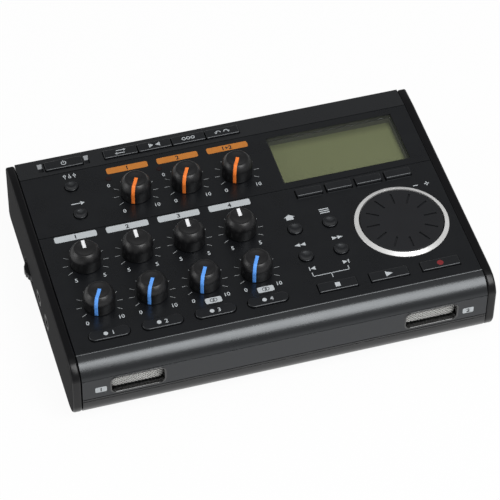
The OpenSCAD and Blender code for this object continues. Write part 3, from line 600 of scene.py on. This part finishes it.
class Print:
    """Ink shapes of one colour on one body, gathered into one thin piece."""

    def __init__(self):
        self.bm = bmesh.new()

    def flat(self, place, outline):
        """A closed outline as a thin plate."""
        low = loop_at(self.bm, place, outline, -INK_SUNK)
        high = loop_at(self.bm, place, outline, INK_RISE)
        self.bm.faces.new(high)
        self.bm.faces.new(low[::-1])
        walls(self.bm, low, high)

    def disc(self, place, radius):
        """A round spot."""
        self.flat(place, circle(radius, DISC_STEPS))

    def ring(self, place, radius, width):
        """A circle drawn with a line."""
        inside = circle(radius - width / 2, RING_STEPS)
        outside = circle(radius + width / 2, RING_STEPS)
        loops = []
        for outline, height in ((inside, -INK_SUNK), (outside, -INK_SUNK),
                                (outside, INK_RISE), (inside, INK_RISE)):
            loops.append(loop_at(self.bm, place, outline, height))
        closed_tube(self.bm, loops)

    def text(self, place, words, height, weight):
        """Plain numerals and signs, `height` millimetres tall, centred on the place."""
        curve = bpy.data.curves.new("words", "FONT")
        curve.body = words
        curve.offset = weight
        curve.resolution_u = TEXT_STEPS
        writer = bpy.data.objects.new("words", curve)
        bpy.context.scene.collection.objects.link(writer)
        graph = bpy.context.evaluated_depsgraph_get()
        graph.update()
        mesh = bpy.data.meshes.new_from_object(writer.evaluated_get(graph))
        xs = [v.co.x for v in mesh.vertices]
        ys = [v.co.y for v in mesh.vertices]
        scale = height / (max(ys) - min(ys))
        shift = Matrix.Translation((-(max(xs) + min(xs)) / 2, -(max(ys) + min(ys)) / 2, 0))
        lift = Matrix.Translation((0, 0, -INK_SUNK))
        mesh.transform(place @ lift @ Matrix.Scale(scale, 4) @ shift)
        letters = bmesh.new()
        letters.from_mesh(mesh)
        up = place.to_3x3() @ Vector((0, 0, INK_RISE + INK_SUNK))
        grown = bmesh.ops.extrude_face_region(letters, geom=letters.faces[:])
        raised = [g for g in grown["geom"] if isinstance(g, bmesh.types.BMVert)]
        bmesh.ops.translate(letters, verts=raised, vec=up)
        letters.to_mesh(mesh)
        letters.free()
        self.bm.from_mesh(mesh)
        bpy.data.objects.remove(writer)
        bpy.data.curves.remove(curve)
        bpy.data.meshes.remove(mesh)

    def make(self, name, body, material="ink"):
        """Ends the print as a piece."""
        return piece_from(self.bm, name, body, material)


# Scales round the knobs

TICK_RADIUS = 7.3
TICK_SIZE = (1.9, 0.2)
TICK_TURNS = range(-120, 121, 30)
LEVEL_END = (6.1, -7.35)
PAN_END = (5.1, -7.3)
END_HEIGHT = 1.75

ticks = Print()
scales = Print()
for knob in KNOBS:
    for turn in TICK_TURNS:
        spoke = turned(on_deck(knob), 90 - turn)
        ticks.flat(spoke, moved(bar(*TICK_SIZE), TICK_RADIUS, 0))
    if knob in KNOBS_PAN:
        across, along = PAN_END
        numbers = ("5", "5")
    else:
        across, along = LEVEL_END
        numbers = ("0", "10")
    for side, number in zip((-1, 1), numbers):
        scales.text(on_deck(knob, side * across, along), number, END_HEIGHT, BOLD)
ticks.make("knob_ticks", "case", "ink_grey")
scales.make("knob_scales", "case")


# Name plates of the tracks and inputs, with numbers alone

PILL = (15.4, 2.9, 0.7)
TRACK_PILL_OFF = (-0.5, 13.0)
INPUT_PILL_OFF = (0.0, 13.3)
PILL_NUMBER = 1.9

track_pills = Print()
input_pills = Print()
pill_numbers = Print()


def number_plate(pills, place, number):
    """A plate on the deck with a number on it."""
    pills.flat(place, rounded(*PILL))
    pill_numbers.text(beside(place, 0, 0, INK_RISE), number, PILL_NUMBER, BOLDER)


for number, knob in zip("1234", KNOBS_PAN):
    number_plate(track_pills, on_deck(knob, *TRACK_PILL_OFF), number)
for number, knob in zip(("1", "2", "1+2"), KNOBS_INPUT):
    number_plate(input_pills, on_deck(knob, *INPUT_PILL_OFF), number)

# Small plates in front of the last two level knobs, with two linked rings
PAIR_PILL = (5.9, 2.6, 0.6)
PAIR_OFF = (0.7, -8.8)
PAIR_RING = (0.72, 0.24)
PAIR_SPREAD = 0.5
for knob in KNOBS_LEVEL[2:]:
    place = on_deck(knob, *PAIR_OFF)
    track_pills.flat(place, rounded(*PAIR_PILL))
    for side in (-1, 1):
        pill_numbers.ring(beside(place, side * PAIR_SPREAD, 0, INK_RISE), *PAIR_RING)
track_pills.make("track_plates", "case", "ink")
input_pills.make("input_plates", "case", "ink_orange")
pill_numbers.make("plate_numbers", "case", "ink_dark")


# Signs on the deck

signs = Print()


def line_sign(place, points, width):
    """A drawn line through points, as one bar for each stretch."""
    for (x0, y0), (x1, y1) in zip(points, points[1:]):
        length = math.hypot(x1 - x0, y1 - y0)
        slant = math.degrees(math.atan2(y1 - y0, x1 - x0))
        spot = beside(place, (x0 + x1) / 2, (y0 + y1) / 2)
        signs.flat(turned(spot, slant), bar(length + width, width))


# Home: a small house
SIGN_OFF = (-0.3, 5.9)
HOUSE_WALL = [(-1.35, -1.1), (1.35, -1.1), (1.35, 0.25), (-1.35, 0.25)]
HOUSE_ROOF = [(-2.0, 0.25), (2.0, 0.25), (0, 1.5)]
home = on_deck("home_button", *SIGN_OFF)
signs.flat(home, HOUSE_WALL)
signs.flat(home, HOUSE_ROOF)

# Menu: three lines
MENU_ROWS = (-0.9, 0, 0.9)
MENU_BAR = (3.6, 0.4)
for row in MENU_ROWS:
    signs.flat(on_deck("menu_button", SIGN_OFF[0], SIGN_OFF[1] + row), bar(*MENU_BAR))

# Rewind and forward: pairs of pointers behind the buttons, return marks in front of them
WIND_TIP = (2.0, 1.65)
REWIND_OFF = (-0.55, 5.85)
FORWARD_OFF = (0.4, 5.85)
RETURN_OFF = (0.1, -6.0)
RETURN_TIP = moved(pointer(1.8, 1.7), -0.5, 0)
RETURN_STOP = moved(bar(0.35, 1.7), 0.7, 0)
for name, facing, off in (("rewind_button", 180, REWIND_OFF), ("forward_button", 0, FORWARD_OFF)):
    for side in (-1, 1):
        spot = on_deck(name, off[0] + side * WIND_TIP[0] / 2, off[1])
        signs.flat(turned(spot, facing), pointer(*WIND_TIP))
    mark = turned(on_deck(name, *RETURN_OFF), facing)
    signs.flat(mark, RETURN_TIP)
    signs.flat(mark, RETURN_STOP)

# Bracket that ties the two return marks to the stop button
BRACKET_OFF = -9.7
BRACKET_ENDS = (-0.3, -0.1)
BRACKET_ARM = 1.7
BRACKET_STEM = 1.9
BRACKET_LINE = 0.26
x0 = middle("rewind_button").x + BRACKET_ENDS[0]
x1 = middle("forward_button").x + BRACKET_ENDS[1]
y = middle("rewind_button").y + BRACKET_OFF
bracket = [(x0, BRACKET_ARM), (x0, 0), (x1, 0), (x1, BRACKET_ARM)]
line_sign(on_top(0, y, DECK_Z), bracket, BRACKET_LINE)
line_sign(on_top((x0 + x1) / 2, y, DECK_Z), [(0, 0), (0, -BRACKET_STEM)], BRACKET_LINE)

# Wheel: minus and plus
MINUS_OFF = (10.5, 15.6)
PLUS_OFF = (14.7, 15.6)
PLUS_BAR = (1.8, 0.4)
signs.flat(on_deck("wheel_ring", *MINUS_OFF), bar(*PLUS_BAR))
signs.flat(on_deck("wheel_ring", *PLUS_OFF), bar(*PLUS_BAR))
signs.flat(on_deck("wheel_ring", *PLUS_OFF), bar(*PLUS_BAR[::-1]))

# Input setting: three sliders, each with its place across and its knob's height
SLIDER_OFF = (0.6, 5.4)
SLIDERS = ((-1.8, 0.4), (0, -0.5), (1.8, 0.1))
SLIDER_BAR = (0.26, 2.2)
SLIDER_KNOB = 0.55
for column, knob_height in SLIDERS:
    spot = on_deck("input_setting_button", SLIDER_OFF[0] + column, SLIDER_OFF[1])
    signs.flat(spot, bar(*SLIDER_BAR))
    signs.disc(beside(spot, 0, knob_height), SLIDER_KNOB)

# Assign: an arrow to the right
ARROW_OFF = (-0.3, 5.4)
ARROW_BAR = (3.6, 0.4)
ARROW_TIP_OFF = (2.1, 5.4)
ARROW_TIP = (1.6, 1.8)
signs.flat(on_deck("assign_button", *ARROW_OFF), bar(*ARROW_BAR))
signs.flat(on_deck("assign_button", *ARROW_TIP_OFF), pointer(*ARROW_TIP))

# Lamps: the number of the level at which they light, inside and in front of the lenses' box
LAMP_NUMBER_IN = 0.9
LAMP_NUMBER_DROP = 1.6
LAMP_NUMBER = 1.7
lamp_low, lamp_high = box_of("lamp_lenses")
for x in (lamp_low.x + LAMP_NUMBER_IN, lamp_high.x - LAMP_NUMBER_IN):
    signs.text(on_top(x, lamp_low.y - LAMP_NUMBER_DROP, DECK_Z), "0", LAMP_NUMBER, BOLD)
signs.make("deck_signs", "case")


# Signs on the buttons

ARM_SPREAD = 1.3
ARM_DOT = 0.8
ARM_NUMBER = 1.8
for number, name in zip("1234", ARM_BUTTONS):
    sign = Print()
    sign.disc(on_cap(name, -ARM_SPREAD), ARM_DOT)
    sign.text(on_cap(name, ARM_SPREAD), number, ARM_NUMBER, BOLD)
    sign.make(name + "_sign", name)

STOP_BAR = (1.8, 1.9)
sign = Print()
sign.flat(on_cap("stop_button"), bar(*STOP_BAR))
sign.make("stop_sign", "stop_button")

PLAY_TIP = (2.6, 2.4)
sign = Print()
sign.flat(on_cap("play_button"), pointer(*PLAY_TIP))
sign.make("play_sign", "play_button")

RECORD_DOT = 1.15
sign = Print()
sign.disc(on_cap("record_button"), RECORD_DOT)
sign.make("record_sign", "record_button", "ink_red")

# A rear button's box also holds a lip at the front, so its cap's middle lies further back
REAR_LIP = 0.35

# Loop: two arrows that run round
LOOP_OFF = 0.7
LOOP_BAR = (3.0, 0.3)
LOOP_TIP_OFF = 1.7
SMALL_TIP = (0.9, 1.1)
sign = Print()
for facing in (0, 180):
    half = turned(on_cap("loop_button", 0, REAR_LIP), facing)
    sign.flat(beside(half, 0, LOOP_OFF), bar(*LOOP_BAR))
    sign.flat(beside(half, LOOP_TIP_OFF, LOOP_OFF), pointer(*SMALL_TIP))
sign.make("loop_sign", "loop_button")

# Marker: two pointers that meet between two bars
MARKER_BAR = (0.35, 1.9)
MARKER_BAR_OFF = -1.9
MARKER_TIP = (1.2, 1.5)
MARKER_TIP_OFF = -1.0
sign = Print()
for facing in (0, 180):
    half = turned(on_cap("marker_button", 0, REAR_LIP), facing)
    sign.flat(beside(half, MARKER_BAR_OFF, 0), bar(*MARKER_BAR))
    sign.flat(beside(half, MARKER_TIP_OFF, 0), pointer(*MARKER_TIP))
sign.make("marker_sign", "marker_button")

# Mode: three rings
MODE_RING = (0.62, 0.28)
MODE_COLUMNS = (-1.7, 0, 1.7)
sign = Print()
for column in MODE_COLUMNS:
    sign.ring(on_cap("mode_button", column, REAR_LIP), *MODE_RING)
sign.make("mode_sign", "mode_button")

# Undo: two bent arrows
UNDO_SPREAD = 1.5
UNDO_OFF = -0.35
UNDO_R = 0.85
UNDO_LINE = 0.3
UNDO_TIP_OFF = -0.1
sign = Print()
for side in (-1, 1):
    half = beside(on_cap("undo_button", 0, REAR_LIP), side * UNDO_SPREAD, UNDO_OFF)
    sign.flat(half, band(UNDO_R, UNDO_LINE, 0, 180))
    tip = turned(beside(half, side * UNDO_R, UNDO_TIP_OFF), -90)
    sign.flat(tip, pointer(*SMALL_TIP))
sign.make("undo_sign", "undo_button")

# Power: an open ring with an upright bar
POWER_RING = (0.85, 0.28, 125, 415)
POWER_BAR = (0.28, 1.2)
POWER_BAR_OFF = 0.6
place = on_cap("power_button", 0, REAR_LIP)
sign = Print()
sign.flat(place, band(*POWER_RING))
sign.flat(beside(place, 0, POWER_BAR_OFF), bar(*POWER_BAR))
sign.make("power_sign", "power_button")


# Pointer lines on the knobs, which follow the knob's own section

KNOB_R = 5.6
KNOB_GAP = 0.2
KNOB_FOOT = DECK_Z + KNOB_GAP
KNOB_BELLY = 3.8
KNOB_DRAFT = 0.1
DOME_OVER = 0.05
RIM_R = 3.9
DISH_R = 3.6
DISH_DEEP = 0.45
LINE_RISE = 0.04
LINE_SUNK = 0.02
LINE_STEPS = 3 * CURVE_STEPS
LINE_SPREAD = 4
LINE_WIDTH = 1.25
LINE_START = -0.8
LEVEL_WAY = (-0.43, -0.9)
MARK_START = 0.5
# How far inside the rim a line stops that doesn't run down the side
MARK_STOP = 0.15
PAN_WAY = (0, 1)


def knob_top(radius, top):
    """Height of the cap's face: a dish and a flat ring."""
    if radius > DISH_R:
        return top
    ball = (DISH_R ** 2 + DISH_DEEP ** 2) / (2 * DISH_DEEP)
    return top - DISH_DEEP + ball - math.sqrt(ball ** 2 - radius ** 2)


def knob_side(height, top):
    """Radius of the side: a slanted foot, then a dome."""
    over = height - KNOB_FOOT - KNOB_BELLY
    upright = KNOB_R + KNOB_DRAFT * over / KNOB_BELLY
    if over < 0:
        return upright
    rise = top - KNOB_FOOT - KNOB_BELLY
    inward = KNOB_R + DOME_OVER - RIM_R
    bow = (inward ** 2 + rise ** 2) / (2 * inward)
    return min(upright, RIM_R + inward - bow + math.sqrt(bow ** 2 - over ** 2))


def knob_line(knob, direction, start, foot, material):
    """A raised stripe from `start` on the cap outwards; down the side to `foot` if there is one."""
    x, y, _ = middle(knob)
    top = top_of(knob)
    out = Vector((direction[0], direction[1], 0)).normalized()
    aside = Vector((-out.y, out.x, 0))
    end = RIM_R if foot is not None else RIM_R - MARK_STOP
    path = [("cap", start + (end - start) * i / LINE_STEPS) for i in range(LINE_STEPS + 1)]
    if foot is not None:
        path += [("side", top + (foot - top) * i / LINE_STEPS) for i in range(1, LINE_STEPS + 1)]

    def spot(kind, value, offset):
        """Distance along the stripe's direction and height, for one line of the stripe."""
        if kind == "cap":
            return value, knob_top(math.hypot(value, offset), top)
        return math.sqrt(knob_side(value, top) ** 2 - offset ** 2), value

    offsets = [LINE_WIDTH * (i / LINE_SPREAD - 0.5) for i in range(LINE_SPREAD + 1)]
    middle_line = [spot(kind, value, 0) for kind, value in path]
    bm = bmesh.new()
    loops = []
    for i, (kind, value) in enumerate(path):
        before = middle_line[max(i - 1, 0)]
        after = middle_line[min(i + 1, len(path) - 1)]
        along = Vector((after[0] - before[0], after[1] - before[1])).normalized()
        normal = Vector((-along.y, along.x))
        upper_row = []
        lower_row = []
        for offset in offsets:
            reach, height = spot(kind, value, offset)
            for row, lift in ((upper_row, LINE_RISE), (lower_row, -LINE_SUNK)):
                point = Vector((x, y, height + lift * normal.y)) + out * (reach + lift * normal.x)
                row.append(bm.verts.new(point + aside * offset))
        loops.append(upper_row + lower_row[::-1])
    capped_tube(bm, loops)
    piece = piece_from(bm, knob + "_line", knob, material)
    piece.data.shade_smooth()


for knob in KNOBS_LEVEL:
    knob_line(knob, LEVEL_WAY, LINE_START, KNOB_FOOT, "line_blue")
for knob in KNOBS_INPUT:
    knob_line(knob, LEVEL_WAY, LINE_START, KNOB_FOOT, "line_orange")
for knob in KNOBS_PAN:
    knob_line(knob, PAN_WAY, MARK_START, None, "line_white")


# Woven nets in the microphone slots

SLOT_SIZE = (19.0, 7.5)
SLOT_ROUND = 2.0
NET_INSET = 0.2
NET_LENGTH = SLOT_SIZE[0] - 2 * NET_INSET
NET_DEPTH = SLOT_SIZE[1] - 2 * NET_INSET
GRILLE_OVER = 0.8
WIRE_R = 0.14
WIRE_PITCH = 0.62
WIRE_SIDES = 6
# Where the first wire lies, in pitches from the net's edge
FIRST_LONG = 0.75
FIRST_CROSS = 0.5


def slot_reach(offset, length, depth):
    """Half of the slot's extent along one way, at an offset across it."""
    past = max(0.0, abs(offset) - (depth / 2 - SLOT_ROUND))
    return length / 2 - SLOT_ROUND + math.sqrt(max(0.0, SLOT_ROUND ** 2 - past ** 2))


def wire(bm, place, upright, offset, reach, phase):
    """One wire that runs over and under the others."""
    count = max(2, int(2 * reach / (WIRE_PITCH / 2)))
    loops = []
    for i in range(count + 1):
        along = -reach + 2 * reach * i / count
        wave = WIRE_R * math.cos(math.pi * along / WIRE_PITCH + phase)
        loop = []
        for k in range(WIRE_SIDES):
            angle = ALL_ROUND * k / WIRE_SIDES
            across = offset + WIRE_R * math.cos(angle)
            height = 2 * WIRE_R + wave + WIRE_R * math.sin(angle)
            u, v = (across, along) if upright else (along, across)
            loop.append(bm.verts.new(place @ Vector((u, v, height))))
        loops.append(loop)
    capped_tube(bm, loops)


grille_low, grille_high = box_of("mic_grilles")
slot_half = SLOT_SIZE[0] / 2 + GRILLE_OVER
slot_xs = (grille_low.x + slot_half, grille_high.x - slot_half)
slot_z = (grille_low.z + grille_high.z) / 2
net = bmesh.new()
for slot_x in slot_xs:
    place = on_front(slot_x, grille_low.y, slot_z)
    for i in range(int(NET_DEPTH / WIRE_PITCH)):
        offset = -NET_DEPTH / 2 + WIRE_PITCH * (i + FIRST_LONG)
        reach = slot_reach(offset, NET_LENGTH, NET_DEPTH)
        if reach > WIRE_PITCH:
            wire(net, place, False, offset, reach, math.pi * (i % 2))
    for i in range(int(NET_LENGTH / WIRE_PITCH)):
        offset = -NET_LENGTH / 2 + WIRE_PITCH * (i + FIRST_CROSS)
        reach = slot_reach(offset, NET_DEPTH, NET_LENGTH)
        if reach > WIRE_PITCH:
            wire(net, place, True, offset, reach, math.pi * ((i + 1) % 2))
piece = piece_from(net, "mic_nets", "case", "net")
piece.data.shade_smooth()


# Glossy lining of the microphone slots: how far outside the slot, how far behind the strip's face

LINING = [(0.5, 0.05), (0.46, -0.06), (0.34, -0.15), (0.18, -0.18), (0.02, -0.15), (-0.1, -0.06),
          (-0.17, 0.07), (-0.2, 0.25), (-0.2, 2.85), (0.1, 2.85), (0.1, 0.05)]
strip_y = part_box("front_strip")[0].y / MM
lining = bmesh.new()
for slot_x in slot_xs:
    place = on_front(slot_x, strip_y, slot_z)
    loops = []
    for out, behind in LINING:
        outline = rounded(SLOT_SIZE[0] + 2 * out, SLOT_SIZE[1] + 2 * out, SLOT_ROUND + out)
        loops.append(loop_at(lining, place, outline, -behind))
    closed_tube(lining, loops)
piece = piece_from(lining, "mic_linings", "case", "rim")
piece.data.shade_smooth()


# Fine bead along the crease where the deck turns down to the front

BEAD_R = 0.4
BEAD_RISE = 0.08
# How many degrees further the bead's section goes on under the deck
BEAD_TUCK = 20
deck_low, deck_high = box_of("upper_case")
bead = bmesh.new()
spread = math.degrees(math.acos(1 - BEAD_RISE / BEAD_R)) + BEAD_TUCK
section = arc((CREASE_Y, DECK_Z + BEAD_RISE - BEAD_R), BEAD_R, 90 - spread, 90 + spread)
ends = []
for x in (deck_low.x, deck_high.x):
    ends.append([bead.verts.new((x, y, z)) for y, z in section])
capped_tube(bead, ends)
piece_from(bead, "crease_bead", "case", "deck")


# Number plates beside the microphones

FRONT_PILL = (4.1, 2.6, 0.5)
FRONT_PILL_XS = (-65.9, 67.2)
FRONT_PILL_DROP = 0.8
FRONT_NUMBER = 1.8
plate_z = slot_z - FRONT_PILL_DROP
front_plates = Print()
front_numbers = Print()
for number, plate_x in zip("12", FRONT_PILL_XS):
    place = on_front(plate_x, strip_y, plate_z)
    front_plates.flat(place, rounded(*FRONT_PILL))
    front_numbers.text(beside(place, 0, 0, INK_RISE), number, FRONT_NUMBER, BOLDER)
front_plates.make("mic_plates", "case", "ink")
front_numbers.make("mic_numbers", "case", "ink_dark")


# Spacer frame round the display, under the window

FRAME_IN = 0.35
FRAME_WALL = 0.3
FRAME_ROUND = (0.3, 0.4)
window_low, window_high = box_of("display_window")
window_size = window_high - window_low
display_top = top_of("display_module")
place = on_top(*middle("display_window").xy, 0)
inner_gap = 2 * (FRAME_IN + FRAME_WALL)
outer_gap = 2 * FRAME_IN
inner = rounded(window_size.x - inner_gap, window_size.y - inner_gap, FRAME_ROUND[0])
outer = rounded(window_size.x - outer_gap, window_size.y - outer_gap, FRAME_ROUND[1])
spacer = bmesh.new()
loops = []
for outline, height in ((inner, display_top), (outer, display_top),
                        (outer, window_low.z), (inner, window_low.z)):
    loops.append(loop_at(spacer, place, outline, height))
closed_tube(spacer, loops)
piece_from(spacer, "display_spacer", "case", "bezel")


# Floor, whose half width is in metres

FLOOR_HALF = 4.0
FLOOR_GLOW = 0.95
FLOOR_TONE = (0.85, 0.85, 0.85, 1.0)
FLOOR_ROUGH = 0.9
FLOOR_SPECULAR = 0.1
floor_mesh = bpy.data.meshes.new("floor")
corners = [(x, y, 0) for x, y in bar(2 * FLOOR_HALF, 2 * FLOOR_HALF)]
floor_mesh.from_pydata(corners, [], [(0, 1, 2, 3)])
floor = bpy.data.objects.new("floor", floor_mesh)
bpy.context.scene.collection.objects.link(floor)


def seen_rays(nodes, links, kinds):
    """1 for the kinds of ray that show the background, 0 for those that light the object."""
    path = nodes.new("ShaderNodeLightPath")
    total = path.outputs[kinds[0]]
    for kind in kinds[1:]:
        both = nodes.new("ShaderNodeMath")
        both.operation = "MAXIMUM"
        links.new(total, both.inputs[0])
        links.new(path.outputs[kind], both.inputs[1])
        total = both.outputs[0]
    return total


FLOOR_RAYS = ("Is Camera Ray", "Is Glossy Ray", "Is Transmission Ray")
floor_material = bpy.data.materials.new("floor_paper")
floor_material.use_nodes = True
nodes = floor_material.node_tree.nodes
links = floor_material.node_tree.links
paper = nodes["Principled BSDF"]
paper.inputs["Base Color"].default_value = FLOOR_TONE
paper.inputs["Roughness"].default_value = FLOOR_ROUGH
paper.inputs["Specular IOR Level"].default_value = FLOOR_SPECULAR
glow = nodes.new("ShaderNodeEmission")
share = nodes.new("ShaderNodeMath")
share.operation = "MULTIPLY"
share.inputs[1].default_value = FLOOR_GLOW
links.new(seen_rays(nodes, links, FLOOR_RAYS), share.inputs[0])
mix = nodes.new("ShaderNodeMixShader")
links.new(share.outputs[0], mix.inputs["Fac"])
links.new(paper.outputs["BSDF"], mix.inputs[1])
links.new(glow.outputs["Emission"], mix.inputs[2])
links.new(mix.outputs["Shader"], nodes["Material Output"].inputs["Surface"])
floor_mesh.materials.append(floor_material)


# Studio: lit at the horizon, dim above it, lit again overhead, and white to the camera alone

SKY_RAYS = ("Is Camera Ray",)
WORLD_MID = 0.08
WORLD_TOP = 0.64
TOP_BAND = (0.8, 0.93)
HORIZON_BAND = (0.42, 0.76)
HORIZON_FRONT = 0.4
HORIZON_REAR = 0.52
HORIZON_WAY = (-0.6, 0.8, 0.0)
HORIZON_TURN = (-0.1, 0.55)
world = bpy.data.worlds.new("studio")
bpy.context.scene.world = world
world.use_nodes = True
nodes = world.node_tree.nodes
links = world.node_tree.links
coords = nodes.new("ShaderNodeTexCoord")
parts = nodes.new("ShaderNodeSeparateXYZ")
links.new(coords.outputs["Generated"], parts.inputs["Vector"])
rearwards = nodes.new("ShaderNodeVectorMath")
rearwards.operation = "DOT_PRODUCT"
rearwards.inputs[1].default_value = HORIZON_WAY
links.new(coords.outputs["Generated"], rearwards.inputs[0])
horizon = smooth_ramp(nodes, links, rearwards.outputs["Value"], HORIZON_TURN,
                      HORIZON_FRONT, HORIZON_REAR)
lower = smooth_ramp(nodes, links, parts.outputs["Z"], HORIZON_BAND, HORIZON_FRONT, WORLD_MID)
links.new(horizon.outputs["Result"], lower.inputs["To Min"])
upper = smooth_ramp(nodes, links, parts.outputs["Z"], TOP_BAND, WORLD_MID, WORLD_TOP)
dome = nodes.new("ShaderNodeMath")
dome.operation = "MAXIMUM"
links.new(lower.outputs["Result"], dome.inputs[0])
links.new(upper.outputs["Result"], dome.inputs[1])
level = nodes.new("ShaderNodeMix")
level.data_type = "FLOAT"
links.new(seen_rays(nodes, links, SKY_RAYS), level.inputs["Factor"])
links.new(dome.outputs[0], level.inputs["A"])
level.inputs["B"].default_value = 1.0
sky = nodes["Background"]
sky.inputs["Color"].default_value = WHITE
links.new(level.outputs["Result"], sky.inputs["Strength"])


# Lamps, with distance and sizes in metres

LAMP_DISTANCE = 1.0


def panel_lamp(name, way, size, radiance):
    """A lit panel that faces the object; `way` leads from the object to it."""
    light = bpy.data.lights.new(name, "AREA")
    light.shape = "RECTANGLE"
    light.size = size[0]
    light.size_y = size[1]
    light.energy = radiance * math.pi * size[0] * size[1]
    lamp = bpy.data.objects.new(name, light)
    lamp.location = Vector(way).normalized() * LAMP_DISTANCE
    lamp.rotation_euler = (-Vector(way)).to_track_quat("-Z", "Y").to_euler()
    bpy.context.scene.collection.objects.link(lamp)


panel_lamp("key", way=(0.24, -0.455, 0.857), size=(0.5, 0.74), radiance=6.6)
panel_lamp("side", way=(-0.93, 0.1, 0.35), size=(0.5, 0.5), radiance=2.2)


# Camera at the photograph's viewing angle

CAMERA_AT = Vector((-183.725, -607.561, 708.771)) * MM
CAMERA_FORWARD = Vector((0.19744786, 0.64286514, -0.74009375))
CAMERA_UP = Vector((0.19980389, 0.71271867, 0.67239163))
CAMERA_LENS = 187.87
SENSOR = 36.0
camera_data = bpy.data.cameras.new("camera")
camera_data.lens = CAMERA_LENS
camera_data.sensor_width = SENSOR
camera = bpy.data.objects.new("camera", camera_data)
right = CAMERA_FORWARD.cross(CAMERA_UP).normalized()
up = right.cross(CAMERA_FORWARD).normalized()
turn = Matrix((right, up, -CAMERA_FORWARD.normalized())).transposed()
camera.matrix_world = Matrix.Translation(CAMERA_AT) @ turn.to_4x4()
bpy.context.scene.collection.objects.link(camera)
bpy.context.scene.camera = camera
bpy.context.scene.view_settings.view_transform = "Standard"

bpy.context.view_layer.update()
